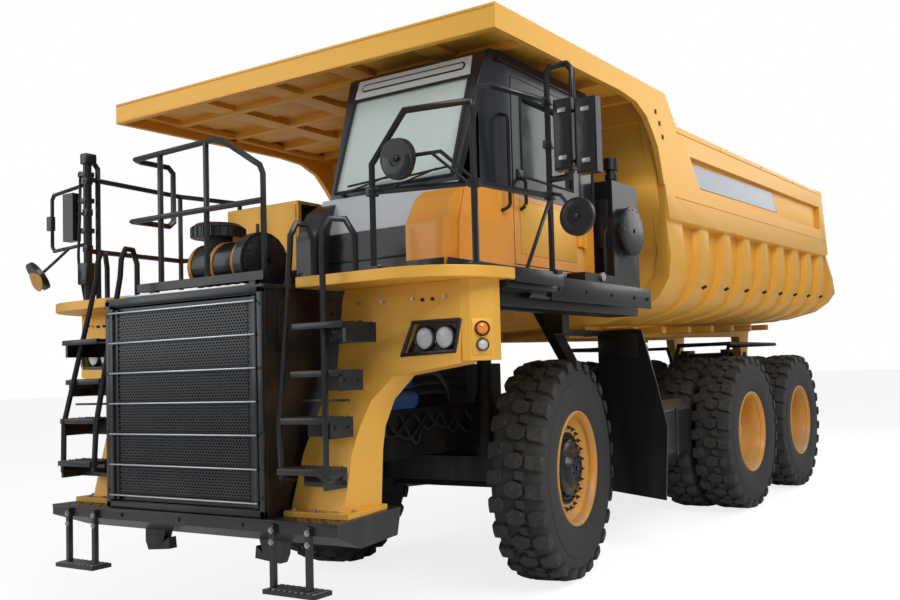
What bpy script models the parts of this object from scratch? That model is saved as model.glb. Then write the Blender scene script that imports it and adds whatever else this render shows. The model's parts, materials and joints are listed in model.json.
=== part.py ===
"""Mining dump truck: rigid frame, three axles, cab on the left, U-shaped tipping body with a canopy.

Metres, +Z up, the truck faces -Y and its left (cab) side is +X.
Every place below is measured from the front axle line (y = 0) on the ground (z = 0).
MIDDLE_Y then moves all of it, so that the box of the whole truck stands centred on the origin.
"""

import math

import bmesh
import bpy
from mathutils import Matrix, Vector

# ---------------------------------------------------------------- driving dimensions
GAP = 0.0003  # seating gap between two solids that touch
WHEEL_SIDES = 24  # flats round a tyre, a rim and a hub
MIDDLE_Y = 2.15  # from the front axle line to the middle of the truck

TYRE_R = 0.93
TREAD_HALF = 0.225
RIM_SEAT_R = 0.435
RIM_FLANGE_R = 0.485
AXLE_Z = TYRE_R
AXLE2_Y = 4.05
AXLE3_Y = 6.12
FRONT_TRACK_X = 1.19  # middle plane of a front tyre
KINGPIN_X = 0.93
DUAL_OUT_X = 1.365  # middle planes of the two tyres of a dual wheel
DUAL_IN_X = 0.845
STEER_REST = math.radians(10.0)  # the front wheels stand turned to the left
STUB_R = 0.10  # stub axle of a front wheel
AXLE_TUBE_R = 0.115  # end of a driven axle

FRAME_IN, FRAME_OUT = 0.28, 0.38
FRAME_Z0, FRAME_Z1 = 1.10, 1.50
FRAME_FRONT, FRAME_REAR = -1.98, 6.85

BUMPER_HALF = 1.40
BUMPER_TOP = 0.925
HOUSING_HALF = 0.786
HOUSING_FRONT = -2.735
HOUSING_TOP = 2.36

DECK_Z0, DECK_Z1 = 2.35, 2.42
DECK_HALF = 2.14
DECK_FRONT = -2.50
DECK_REAR = 0.36

CAB_X0, CAB_X1 = 0.46, 1.76
CAB_WALL = 0.05
CAB_FLOOR = DECK_Z1 + GAP
CAB_ROOF = 4.00
CAB_REAR = -0.20
DOOR_FRONT, DOOR_REAR = -1.36, -0.40
DOOR_Z0, DOOR_Z1 = 2.52, 3.86
HINGE_OUT = 0.022  # the door's hinge line stands this far outside the cab wall

BODY_HALF = 1.983
BODY_RIB_X = 1.95
BODY_WALL_X = 1.87
BODY_INNER_X = 1.82
BODY_FRONT, BODY_REAR = 0.95, 7.10
BODY_TILT = math.tan(math.radians(1.7))  # the floor line climbs this much towards the tail
CANOPY_FRONT = -1.84
TIP_Y, TIP_Z = 6.60, 1.88  # tipping pivot
TIP_PIN_R = 0.055
PIN_SIDES = 24

HOIST_X = 0.15
HOIST_PIN_R = 0.050
HOIST_ROD_R = 0.045
HOIST_BASE = (1.90, 1.14)  # y, z of the barrel's pin in the frame
HOIST_EYE = (4.00, 1.98)  # y, z of the rod's pin under the body

MIRROR_OUT = 2.50

# colour, metallic, roughness of each finish
FINISHES = {
    "orange": ((0.80, 0.42, 0.06, 1.0), 0.0, 0.35),
    "black": ((0.02, 0.02, 0.022, 1.0), 0.0, 0.5),
    "steel": ((0.45, 0.46, 0.48, 1.0), 0.8, 0.4),
    "gold": ((0.75, 0.42, 0.08, 1.0), 0.2, 0.4),
    "rubber": ((0.03, 0.03, 0.03, 1.0), 0.0, 0.85),
    "glass": ((0.35, 0.42, 0.40, 0.35), 0.0, 0.08),
    "fabric": ((0.06, 0.06, 0.07, 1.0), 0.0, 0.9),
    "plastic": ((0.05, 0.05, 0.055, 1.0), 0.0, 0.6),
    "frame": ((0.03, 0.03, 0.033, 1.0), 0.1, 0.55),
}


# ---------------------------------------------------------------- shape helpers
def bore_for(radius, sides):
    """Corner radius of a many-sided bore that clears a round bar of this radius by the seating gap."""
    return (radius + GAP) / math.cos(math.pi / sides)


def clear_scene():
    for old in list(bpy.data.objects):
        bpy.data.objects.remove(old, do_unlink=True)


def finish(name, kind):
    colour, metallic, roughness = FINISHES[kind]
    material = bpy.data.materials.new(name + "_" + kind)
    material.use_nodes = True
    shader = material.node_tree.nodes["Principled BSDF"]
    shader.inputs["Base Color"].default_value = colour
    shader.inputs["Metallic"].default_value = metallic
    shader.inputs["Roughness"].default_value = roughness
    if kind == "glass":
        shader.inputs["Alpha"].default_value = colour[3]
    material.diffuse_color = colour
    return material


def box(x0, x1, y0, y1, z0, z1):
    """A block between the six limits."""

    def add(bm):
        made = bmesh.ops.create_cube(bm, size=1.0)
        bmesh.ops.scale(bm, vec=(x1 - x0, y1 - y0, z1 - z0), verts=made["verts"])
        middle = ((x0 + x1) / 2, (y0 + y1) / 2, (z0 + z1) / 2)
        bmesh.ops.translate(bm, vec=middle, verts=made["verts"])

    return add


def prism(axis, outline, low, high):
    """An outline drawn across an axis and pushed from low to high along it."""
    place = {
        "X": lambda a, b, t: (t, a, b),
        "Y": lambda a, b, t: (a, t, b),
        "Z": lambda a, b, t: (a, b, t),
    }[axis]

    def add(bm):
        near = [bm.verts.new(place(a, b, low)) for a, b in outline]
        far = [bm.verts.new(place(a, b, high)) for a, b in outline]
        faces = [bm.faces.new(near), bm.faces.new(list(reversed(far)))]
        for i in range(len(outline)):
            j = (i + 1) % len(outline)
            faces.append(bm.faces.new((near[j], near[i], far[i], far[j])))
        bmesh.ops.recalc_face_normals(bm, faces=faces)

    return add


def cylinder(start, end, radius, sides=12, end_radius=None):
    """A round bar from start to end."""

    def add(bm):
        a, b = Vector(start), Vector(end)
        turn = Vector((0, 0, 1)).rotation_difference(b - a).to_matrix().to_4x4()
        bmesh.ops.create_cone(
            bm,
            cap_ends=True,
            segments=sides,
            radius1=radius,
            radius2=radius if end_radius is None else end_radius,
            depth=(b - a).length,
            matrix=Matrix.Translation((a + b) / 2) @ turn,
        )

    return add


def ball(centre, radius, scale=(1, 1, 1)):
    def add(bm):
        size = Matrix.Diagonal((*scale, 1.0))
        bmesh.ops.create_uvsphere(
            bm, u_segments=12, v_segments=6, radius=radius, matrix=Matrix.Translation(centre) @ size
        )

    return add


def tube(path, radius, sides=6, closed=False):
    """A bar bent along the points of a path, mitred at each bend."""

    def add(bm):
        points = [Vector(p) for p in path]
        count = len(points)
        ahead = [(points[(i + 1) % count] - points[i]).normalized() for i in range(count)]
        side = ahead[0].orthogonal().normalized()
        rings = []
        for i, point in enumerate(points):
            if closed:
                before, after = ahead[i - 1], ahead[i]
            else:
                before, after = ahead[max(i - 1, 0)], ahead[min(i, count - 2)]
            along = (before + after).normalized()
            side = (side - side.dot(before) * before).normalized()
            across = before.cross(side)
            ring = []
            for k in range(sides):
                turn = 2 * math.pi * (k + 0.5) / sides
                spot = radius * (math.cos(turn) * side + math.sin(turn) * across)
                spot -= before * (spot.dot(along) / before.dot(along))
                ring.append(bm.verts.new(point + spot))
            rings.append(ring)
        faces = []
        for i in range(count if closed else count - 1):
            near, far = rings[i], rings[(i + 1) % count]
            for k in range(sides):
                j = (k + 1) % sides
                faces.append(bm.faces.new((near[k], near[j], far[j], far[k])))
        if not closed:
            faces.append(bm.faces.new(list(reversed(rings[0]))))
            faces.append(bm.faces.new(rings[-1]))
        bmesh.ops.recalc_face_normals(bm, faces=faces)

    return add


def turned(centre, outline, sides, heading=0.0):
    """A closed outline of (out along the wheel's axis, radius), turned about that axis."""
    axis = Vector((math.cos(heading), math.sin(heading), 0))
    level = Vector((-math.sin(heading), math.cos(heading), 0))

    def add(bm):
        rings = []
        for out, radius in outline:
            ring = []
            for k in range(sides):
                turn = 2 * math.pi * k / sides
                spot = level * (radius * math.cos(turn)) + Vector((0, 0, radius * math.sin(turn)))
                ring.append(bm.verts.new(Vector(centre) + axis * out + spot))
            rings.append(ring)
        faces = []
        for i in range(len(rings)):
            near, far = rings[i], rings[(i + 1) % len(rings)]
            for k in range(sides):
                j = (k + 1) % sides
                faces.append(bm.faces.new((near[k], near[j], far[j], far[k])))
        bmesh.ops.recalc_face_normals(bm, faces=faces)

    return add


def mesh_object(name, origin, shapes):
    bm = bmesh.new()
    for add in shapes:
        add(bm)
    bmesh.ops.translate(bm, vec=-Vector(origin), verts=bm.verts)
    mesh = bpy.data.meshes.new(name)
    bm.to_mesh(mesh)
    bm.free()
    made = bpy.data.objects.new(name, mesh)
    made.location = (origin[0], origin[1] - MIDDLE_Y, origin[2])
    bpy.context.scene.collection.objects.link(made)
    return made


def helper(name, origin, shapes):
    made = mesh_object(name, origin, shapes)
    made.hide_render = True
    made.display_type = "WIRE"
    return made


def piece(name, kind, origin, shapes, cuts=(), smooth=False):
    """One solid: the first shape, with the others fused on and the cuts taken away."""
    made = mesh_object(name, origin, shapes[:1])
    made.data.materials.append(finish(name, kind))
    jobs = [("UNION", "_fused", list(shapes[1:])), ("DIFFERENCE", "_cut", list(cuts))]
    for operation, suffix, extra in jobs:
        if not extra:
            continue
        step = made.modifiers.new(operation.title(), "BOOLEAN")
        step.operation = operation
        step.solver = "EXACT"
        step.use_self = True
        step.object = helper(name + suffix, origin, extra)
    if smooth:
        made.data.polygons.foreach_set("use_smooth", [True] * len(made.data.polygons))
    return made


def mirrored(outline):
    """An outline of points drawn on the +X half, with its other half added."""
    return outline + [(-a, b) for a, b in reversed(outline)]


# ---------------------------------------------------------------- wheels
def tyre_outline(half):
    """Section of a tyre: tread, shoulder, bulged wall and bead on each side."""
    # columns: out along the axle, radius
    outline = [
        (half - 0.030, TYRE_R),
        (half, TYRE_R - 0.045),
        (half + 0.010, TYRE_R - 0.20),
        (half - 0.025, RIM_FLANGE_R + 0.012),
        (half - 0.060, RIM_SEAT_R + GAP),
    ]
    return outline + [(-out, radius) for out, radius in reversed(outline)]


def rim_outline(half, disc_at, hub_r, disc_half):
    """Section of a rim with its disc; disc_at is where the disc stands along the axle."""
    flange = half - 0.030
    seat = half - 0.055
    return [
        (flange, RIM_FLANGE_R),
        (flange + 0.014, RIM_FLANGE_R - 0.010),
        (seat, RIM_SEAT_R - 0.025),
        (disc_at + disc_half, RIM_SEAT_R - 0.045),
        (disc_at + disc_half, hub_r),
        (disc_at - disc_half, hub_r),
        (disc_at - disc_half, RIM_SEAT_R - 0.045),
        (-seat, RIM_SEAT_R - 0.025),
        (-flange - 0.014, RIM_FLANGE_R - 0.010),
        (-flange, RIM_FLANGE_R),
        (-seat, RIM_SEAT_R),
        (seat, RIM_SEAT_R),
    ]


def build_front_wheel(name, side):
    heading = STEER_REST if side > 0 else STEER_REST + math.pi
    pin = Vector((side * KINGPIN_X, 0, AXLE_Z))
    axis = Vector((math.cos(heading), math.sin(heading), 0))
    centre = pin + axis * (FRONT_TRACK_X - KINGPIN_X)
    piece(name + "_tyre", "rubber", centre, [turned(centre, tyre_outline(TREAD_HALF), WHEEL_SIDES, heading)], smooth=True)
    hub_r = bore_for(STUB_R, WHEEL_SIDES)
    rim = turned(centre, rim_outline(TREAD_HALF, 0.045, 0.16, 0.020), WHEEL_SIDES, heading)
    hub = turned(
        centre,
        # columns: out along the axle, radius
        [(0.13, 0.02), (0.13, 0.11), (0.075, 0.20), (-0.05, 0.20), (-0.05, hub_r), (0.06, hub_r), (0.06, 0.02)],
        WHEEL_SIDES,
        heading,
    )
    piece(name + "_rim", "gold", centre, [rim, hub, cylinder(centre + axis * 0.07, centre + axis * 0.125, 0.06)])
    reach = FRONT_TRACK_X - KINGPIN_X
    level = Vector((-math.sin(STEER_REST), math.cos(STEER_REST), 0))
    knuckle = [
        cylinder(pin + Vector((0, 0, -0.19)), pin + Vector((0, 0, 0.19)), 0.075),
        cylinder(pin, pin + axis * (reach + 0.05), STUB_R, 16),
    ]
    arm_end = pin + level * 0.40 + Vector((-side * 0.10, 0, -0.13))
    knuckle += [tube([pin + Vector((0, 0, -0.13)), arm_end], 0.038, 8), cylinder(arm_end - Vector((0, 0, 0.045)), arm_end + Vector((0, 0, 0.045)), 0.05, 10)]
    piece("steering_knuckle_" + ("left" if side > 0 else "right"), "frame", pin, knuckle)
    return arm_end


def build_dual_wheel(name, axle_y, side):
    centre = Vector((side * DUAL_OUT_X, axle_y, AXLE_Z))
    inner = Vector((side * DUAL_IN_X, axle_y, AXLE_Z))
    heading = 0.0 if side > 0 else math.pi
    piece(name + "_outer_tyre", "rubber", centre, [turned(centre, tyre_outline(TREAD_HALF), WHEEL_SIDES, heading)], smooth=True)
    piece(name + "_inner_tyre", "rubber", inner, [turned(inner, tyre_outline(TREAD_HALF), WHEEL_SIDES, heading)], smooth=True)
    between = DUAL_OUT_X - DUAL_IN_X
    flange = TREAD_HALF - 0.030
    dish = -between / 2
    hub_r = bore_for(AXLE_TUBE_R, WHEEL_SIDES)
    # columns: out along the axle from the outer tyre's middle, radius
    wheel = [
        (flange, RIM_FLANGE_R),
        (flange + 0.014, RIM_FLANGE_R - 0.010),
        (flange - 0.025, RIM_SEAT_R - 0.025),
        (dish + 0.10, RIM_SEAT_R - 0.050),
        (dish + 0.07, 0.24),
        (dish + 0.20, 0.20),
        (dish + 0.20, 0.02),
        (dish + 0.13, hub_r),
        (-between - 0.05, hub_r),
        (dish - 0.04, 0.26),
        (dish - 0.04, RIM_SEAT_R - 0.050),
        (-between - flange + 0.025, RIM_SEAT_R - 0.025),
        (-between - flange - 0.014, RIM_FLANGE_R - 0.010),
        (-between - flange, RIM_FLANGE_R),
        (-between - flange + 0.025, RIM_SEAT_R),
        (flange - 0.025, RIM_SEAT_R),
    ]
    hub_cap = cylinder(centre + Vector((side * (dish + 0.17), 0, 0)), centre + Vector((side * (dish + 0.23), 0, 0)), 0.10, 16)
    piece(name + "_rim", "gold", centre, [turned(centre, wheel, WHEEL_SIDES, heading), hub_cap])


def build_axles(arm_left, arm_right):
    beam = [
        box(-KINGPIN_X + 0.16, KINGPIN_X - 0.16, -0.09, 0.09, AXLE_Z - 0.12, AXLE_Z + 0.10),
    ]
    for side in (1, -1):
        x = side * KINGPIN_X
        beam += [
            box(*sorted((x - side * 0.24, x - side * 0.15)), -0.07, 0.07, AXLE_Z - 0.27, AXLE_Z + 0.27),
            cylinder((x, 0, AXLE_Z + 0.19 + GAP), (x, 0, AXLE_Z + 0.27), 0.10),
            cylinder((x, 0, AXLE_Z - 0.27), (x, 0, AXLE_Z - 0.19 - GAP), 0.10),
            box(*sorted((x, x - side * 0.22)), -0.09, 0.09, AXLE_Z + 0.20, AXLE_Z + 0.26),
            box(*sorted((x, x - side * 0.22)), -0.09, 0.09, AXLE_Z - 0.26, AXLE_Z - 0.20),
            cylinder((side * 0.49, 0, AXLE_Z), (side * 0.49, 0, 1.58), 0.085),
            cylinder((side * 0.49, 0, 1.55), (side * 0.49, 0, 1.95), 0.065),
            box(min(side * 0.49, side * (FRAME_OUT + GAP)), max(side * 0.49, side * (FRAME_OUT + GAP)), -0.10, 0.10, 1.20, 1.45),
        ]
    piece("front_axle", "frame", (0, 0, AXLE_Z), beam)
    ends = (arm_left + Vector((0, 0, -0.045 - GAP)), arm_right + Vector((0, 0, -0.045 - GAP)))
    low = Vector((0, 0, -0.04))
    rod = [tube([ends[0] + low, ends[1] + low], 0.030, 8)]
    rod += [cylinder(end + low * 1.9, end, 0.045, 10) for end in ends]
    piece("tie_rod", "frame", (ends[0] + ends[1]) / 2, rod)
    for name, axle_y in (("middle_axle", AXLE2_Y), ("rear_axle", AXLE3_Y)):
        spindle = DUAL_OUT_X - (DUAL_OUT_X - DUAL_IN_X) / 2 + 0.12
        tubes = [
            cylinder((-0.53, axle_y, AXLE_Z), (0.53, axle_y, AXLE_Z), 0.15, 16),
            cylinder((-spindle, axle_y, AXLE_Z), (spindle, axle_y, AXLE_Z), AXLE_TUBE_R, 16),
            ball((0, axle_y, AXLE_Z), 0.27),
            cylinder((0, axle_y - 0.45, AXLE_Z), (0, axle_y, AXLE_Z), 0.09),
        ]
        piece(name, "frame", (0, axle_y, AXLE_Z), tubes)


# ---------------------------------------------------------------- chassis
def build_chassis():
    shapes = [box(-FRAME_IN - 0.02, FRAME_IN + 0.02, FRAME_FRONT, FRAME_FRONT + 0.12, FRAME_Z0, FRAME_Z1)]
    for side in (1, -1):
        low, high = sorted((side * FRAME_IN, side * FRAME_OUT))
        rail = [
            (-1.70, FRAME_Z0),
            (-1.80, 0.80),
            (FRAME_FRONT, 0.80),
            (FRAME_FRONT, FRAME_Z1),
            (2.6, FRAME_Z1),
            (3.2, FRAME_Z1 + 0.12),
            (FRAME_REAR, FRAME_Z1 + 0.12),
            (FRAME_REAR, FRAME_Z0 + 0.05),
        ]
        shapes.append(prism("X", rail, low, high))
        shapes.append(box(low - 0.005, high + 0.005, TIP_Y - 0.16, TIP_Y + 0.16, FRAME_Z1, TIP_Z + 0.10))
        beam_low, beam_high = sorted((side * (FRAME_OUT - 0.02), side * 0.52))
        shapes.append(box(beam_low, beam_high, AXLE2_Y - 0.18, AXLE3_Y + 0.18, FRAME_Z0 - 0.02, FRAME_Z0 + 0.22))
        shapes.append(tube([(side * 0.35, 4.35, 1.56), (side * 0.50, 4.35, 2.02), (side * 1.20, 4.35, 2.02), (side * 1.20, 6.20, 2.02), (side * 0.50, 6.20, 2.02), (side * 0.35, 6.20, 1.56)], 0.028, 6))
        # deck legs on the frame, ahead of and behind the front wheel
        shapes.append(box(*sorted((side * 0.30, side * 0.60)), -1.90, -1.70, 1.42, 1.58))
        shapes.append(box(*sorted((side * 0.48, side * 0.60)), -1.90, -1.70, 1.42, DECK_Z0 - GAP))
        shapes.append(box(*sorted((side * 0.30, side * 1.00)), 1.04, 1.16, 1.30, 1.44))
        leg = [(1.04, 1.40), (1.16, 1.40), (1.16, 1.50), (0.34, DECK_Z0 - GAP), (0.16, DECK_Z0 - GAP), (1.04, 1.46)]
        shapes.append(prism("X", leg, *sorted((side * 0.88, side * 0.98))))
    # columns: where along the truck, thickness, lower edge, upper edge
    for y, thick, z0, z1 in (
        (-1.80, 0.16, 1.14, 1.30),
        (0.10, 0.16, 1.14, 1.30),
        (HOIST_BASE[0] - 0.27, 0.12, 1.12, 1.30),
        (5.10, 0.16, 1.20, 1.55),
        (FRAME_REAR - 0.14, 0.14, 1.20, 1.60),
    ):
        shapes.append(box(-FRAME_IN - 0.02, FRAME_IN + 0.02, y, y + thick, z0, z1))
    # the hoists' pin across the frame, and the tipping pivot's pin
    shapes.append(cylinder((-FRAME_IN - 0.02, HOIST_BASE[0], HOIST_BASE[1]), (FRAME_IN + 0.02, HOIST_BASE[0], HOIST_BASE[1]), HOIST_PIN_R, PIN_SIDES))
    shapes.append(cylinder((-0.62, TIP_Y, TIP_Z), (0.62, TIP_Y, TIP_Z), TIP_PIN_R, PIN_SIDES))
    piece("chassis_frame", "frame", (0, 2.0, FRAME_Z0), shapes)


def build_bumper():
    # columns: y, z
    shelf = [
        (-2.741, BUMPER_TOP),
        (-2.741, 0.851),
        (-2.50, 0.745),
        (-2.10, 0.75),
        (-2.05, BUMPER_TOP),
    ]
    shapes = [prism("X", shelf, -BUMPER_HALF, BUMPER_HALF)]
    for side in (1, -1):
        arm = [(-2.45, 0.80), (-2.45, BUMPER_TOP - 0.002), (FRAME_FRONT - GAP, BUMPER_TOP - 0.002), (FRAME_FRONT - GAP, 0.80)]
        shapes.append(prism("X", arm, *sorted((side * (FRAME_IN + 0.01), side * (FRAME_OUT - 0.01)))))
        # hanging step: two hangers and a tread
        for x in (0.865, 1.165):
            shapes.append(box(*sorted((side * x, side * (x + 0.035))), -2.765, -2.735, 0.51, 0.905))
        shapes.append(box(*sorted((side * 0.84, side * 1.27)), -2.80, -2.66, 0.498, 0.525))
        # tow hook
        hook = [(0.46, 0.78), (0.50, 0.66), (0.44, 0.70), (0.43, 0.62), (0.66, 0.60), (0.69, 0.66), (0.69, 0.78)]
        shapes.append(prism("Y", [(side * x, z) for x, z in hook], -2.50, -2.44))
    cuts = []
    for side in (1, -1):
        cuts.append(prism("Z", [(side * 1.41, -2.80), (side * 1.60, -2.80), (side * 1.60, -2.0), (side * 1.27, -2.0)], 0.60, 1.00))
    piece("front_bumper", "black", (0, -2.4, BUMPER_TOP), shapes, cuts)


def build_nose():
    base = BUMPER_TOP + GAP
    outer = box(-HOUSING_HALF, HOUSING_HALF, HOUSING_FRONT + 0.035, -2.02, base, HOUSING_TOP)
    mouth = box(-HOUSING_HALF + 0.05, HOUSING_HALF - 0.05, HOUSING_FRONT - 0.1, -2.07, base + 0.05, HOUSING_TOP - 0.05)
    cap = box(-HOUSING_HALF - 0.01, HOUSING_HALF + 0.01, HOUSING_FRONT + 0.02, -2.00, HOUSING_TOP - 0.02, HOUSING_TOP + 0.012)
    window = box(-0.45, 0.45, -2.2, -1.9, 1.72, 2.22)
    piece("radiator_housing", "black", (0, -2.4, base), [outer, cap], [mouth, window])
    # columns: lower edge, upper edge of each grille panel, with a thin bar on top of it
    shapes = [box(-0.70, 0.70, HOUSING_FRONT + 0.045, HOUSING_FRONT + 0.065, base + 0.055, HOUSING_TOP - 0.06)]
    bars = 7
    for i in range(bars):
        z = 1.01 + (HOUSING_TOP - 0.10 - 1.01) * i / (bars - 1)
        shapes.append(box(-HOUSING_HALF + 0.05 + GAP, HOUSING_HALF - 0.05 - GAP, HOUSING_FRONT + 0.004, HOUSING_FRONT + 0.055, z, z + 0.016))
    for side in (1, -1):
        shapes.append(box(*sorted((side * 0.66, side * 0.72)), HOUSING_FRONT + 0.020, HOUSING_FRONT + 0.060, base + 0.06, HOUSING_TOP - 0.07))
    piece("grille", "black", (0, HOUSING_FRONT + 0.05, 1.6), shapes)
    block = [
        box(-0.26, 0.26, -1.84, -0.15, FRAME_Z0 + 0.22, 1.62),
        box(-0.40, 0.40, -1.95, -0.15, 1.60, 2.20),
        box(-0.70, 0.70, HOUSING_FRONT + 0.14, -2.16, base + 0.10, HOUSING_TOP - 0.12),
        cylinder((0, -2.2, 1.95), (0, -1.9, 1.95), 0.12),
        box(-0.22, 0.22, -0.20, 0.65, 1.34, 1.85),
        tube([(0, 0.55, 1.42), (0, 0.70, 1.42), (0, 1.50, AXLE_Z), (0, AXLE2_Y - 0.45 - GAP, AXLE_Z)], 0.055, 8),
    ]
    piece("engine_block", "frame", (0, -1.0, 1.6), block)


def build_front_fender(name, side):
    """The leg on the bumper, the lamp panel above it and the arch between them, as bent plate."""
    lo = BUMPER_TOP + GAP

    def leg(bm):
        # columns: inner x, outer x, front y, depth, z
        rows = [
            (0.800, 1.250, -2.530, 0.330, lo + 0.03),
            (0.830, 1.245, -2.450, 0.280, 1.30),
            (0.860, 1.262, -2.400, 0.240, 1.45),
            (0.880, 1.300, -2.330, 0.220, 1.62),
            (0.900, 1.420, -2.250, 0.200, 1.77),
            (0.905, 1.900, -2.215, 0.190, 1.835),
            (0.940, 1.920, -2.190, 0.180, 2.28),
            (0.960, 1.920, -2.185, 0.170, DECK_Z0 - GAP),
        ]
        rings = []
        for inner, outer, front, depth, z in rows:
            spots = ((inner, front), (outer, front), (outer, front + depth), (inner, front + depth))
            rings.append([bm.verts.new((side * x, y, z)) for x, y in spots])
        faces = [bm.faces.new(rings[0]), bm.faces.new(rings[-1])]
        for near, far in zip(rings, rings[1:]):
            for k in range(4):
                j = (k + 1) % 4
                faces.append(bm.faces.new((near[k], near[j], far[j], far[k])))
        bmesh.ops.recalc_face_normals(bm, faces=faces)

    foot = [(0.82, -2.61), (1.35, -2.60), (1.27, -2.17), (0.82, -2.17)]
    foot = [(side * x, y) for x, y in foot]
    corner = [(1.91, -2.19), (1.96, -2.17), (2.05, -2.05), (2.06, -1.99), (1.91, -1.99)]
    corner = [(side * x, y) for x, y in corner]
    shapes = [leg, prism("Z", foot, lo, lo + 0.035), prism("Z", corner, 1.85, DECK_Z0 - GAP)]
    back = box(*sorted((side * 0.99, side * 1.88)), -2.12, -1.85, 1.90, 2.32)
    hollow = prism("X", [(-2.40, 1.02), (-2.31, 1.45), (-2.22, 1.62), (-2.13, 1.75), (-1.9, 1.75), (-1.9, 0.98), (-2.40, 0.98)], *sorted((side * 0.86, side * 1.19)))
    lamps = [
        prism("Y", [(side * a, z) for a, z in ((1.46, 1.91), (1.86, 1.92), (1.90, 2.09), (1.56, 2.09))], -2.30, -2.15),
        prism("Z", [(side * a, y) for a, y in ((1.93, -2.30), (2.20, -1.94), (2.00, -2.02), (1.93, -2.13))], 1.90, 2.10),
    ]
    piece(name, "orange", (side * 1.2, -2.3, lo), shapes, [back, hollow, lamps[0]])


def build_ladder(name, side):
    """Five treads between two handrails, in front of the fender's leg."""
    # columns: inner x, outer x, front y, back y, z of the tread
    treads = [
        (0.93, 1.31, -2.75, -2.56, 1.215),
        (0.93, 1.33, -2.72, -2.52, 1.515),
        (0.96, 1.36, -2.66, -2.46, 1.795),
        (0.98, 1.40, -2.66, -2.38, 2.085),
    ]
    shapes = []
    for inner, outer, front, rear, z in treads:
        shapes.append(box(*sorted((side * inner, side * outer)), front, rear, z, z + 0.022))
        shapes.append(box(*sorted((side * (outer - 0.025), side * outer)), front + 0.02, rear, z - 0.10, z + 0.01))
        shapes.append(box(*sorted((side * (inner + 0.05), side * (outer - 0.05))), rear - 0.03, rear - 0.005, z - 0.10, z + 0.01))
    inner_rail = [(0.935, -2.62, 1.16), (0.935, -2.72, 1.18), (0.915, -2.715, 1.50), (0.86, -2.56, 2.55), (0.86, -2.55, 2.68), (0.87, -2.51, 2.76), (0.89, -2.44, 2.76), (0.90, -2.40, 2.66), (0.90, -2.40, DECK_Z1 + GAP)]
    outer_rail = [(1.30, -2.57, 1.15), (1.30, -2.72, 1.17), (1.30, -2.715, 1.50), (1.14, -2.56, 2.55), (1.14, -2.55, 2.68), (1.16, -2.51, 2.76), (1.22, -2.44, 2.76), (1.26, -2.40, 2.66), (1.26, -2.40, DECK_Z1 + GAP)]
    for rail in (inner_rail, outer_rail):
        shapes.append(tube([(side * x, y, z) for x, y, z in rail], 0.019, 6))
    # brackets from the ladder to the fender's leg and lamp panel
    # columns: height, front y, back y, which stops on the plate behind it
    for z, front, rear in ((1.17, -2.60, -2.4802), (2.04, -2.42, -2.2037)):
        shapes.append(box(*sorted((side * 1.00, side * 1.06)), front, rear, z, z + 0.05))
    piece(name, "black", (side * 1.1, -2.6, 1.2), shapes)


def build_deck():
    """One platform round the nose and the engine: both wings and the walkway behind the engine."""
    corner = []
    for k in range(7):
        turn = math.radians(90.0 * k / 6)
        corner.append((DECK_HALF - 0.52 + 0.52 * math.sin(turn), DECK_FRONT + 0.52 - 0.52 * math.cos(turn)))
    right_half = [(0.84, DECK_FRONT)] + corner + [(DECK_HALF, -1.35), (1.98, -1.25), (1.98, DECK_REAR), (0, DECK_REAR)]
    notch = [(0.84, DECK_FRONT), (0.84, -1.96), (0.50, -1.96), (0.50, -0.10), (0, -0.10)]
    half = [(0.50, -0.10), (0.50, -1.96), (0.84, -1.96)] + right_half[:-1] + [(0, DECK_REAR), (0, -0.10)]
    outline = half[:-1] + [(-x, y) for x, y in reversed(half[:-2])]
    shapes = [prism("Z", outline, DECK_Z0, DECK_Z1)]
    for side in (1, -1):
        shapes.append(box(*sorted((side * 1.62, side * 1.86)), -1.80, 0.30, 2.22, DECK_Z0 + 0.02))
        shapes.append(box(*sorted((side * 0.52, side * 0.62)), -1.50, 0.30, 2.22, DECK_Z0 + 0.02))
    piece("deck", "orange", (0, -1.0, DECK_Z0), shapes)


def build_mudflap(name, side):
    sheet = [(0.98, 0.58), (1.66, 0.50), (1.70, 1.20), (1.60, 1.62), (1.46, 2.13), (0.98, 2.13)]
    piece(
        name,
        "rubber",
        (side * 1.3, 1.25, 2.13),
        [
            prism("Y", [(side * x, z) for x, z in sheet], 1.24, 1.26),
            box(*sorted((side * 1.02, side * 1.40)), 1.25, 1.30, 2.06, 2.14),
            box(*sorted((side * 1.03, side * 1.08)), 0.24, 1.28, 2.08, 2.135),
            box(*sorted((side * 1.01, side * 1.20)), 0.20, 0.32, 2.09, DECK_Z0 - GAP),
        ],
    )


def build_tanks():
    for name, side in (("fuel_tank", -1), ("hydraulic_tank", 1)):
        low, high = sorted((side * (FRAME_OUT + GAP), side * 1.22))
        cut = 0.12
        outer, inner = (high, low) if side > 0 else (low, high)
        shape = [(inner, 0.70), (inner, 1.40), (outer - side * cut, 1.40), (outer, 1.40 - cut), (outer, 0.70 + cut), (outer - side * cut, 0.70)]
        piece(name, "black", (side * 0.8, 2.0, 0.95), [prism("Y", shape, 1.42, 2.95), cylinder((side * 0.95, 1.62, 1.12), (side * 0.95, 1.62, 1.48), 0.07)])


# ---------------------------------------------------------------- cab
def cab_front_at(z):
    """Where the raked front panel stands at a height."""
    return -1.90 + (z - 3.02) * (0.30 / 0.95)


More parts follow.
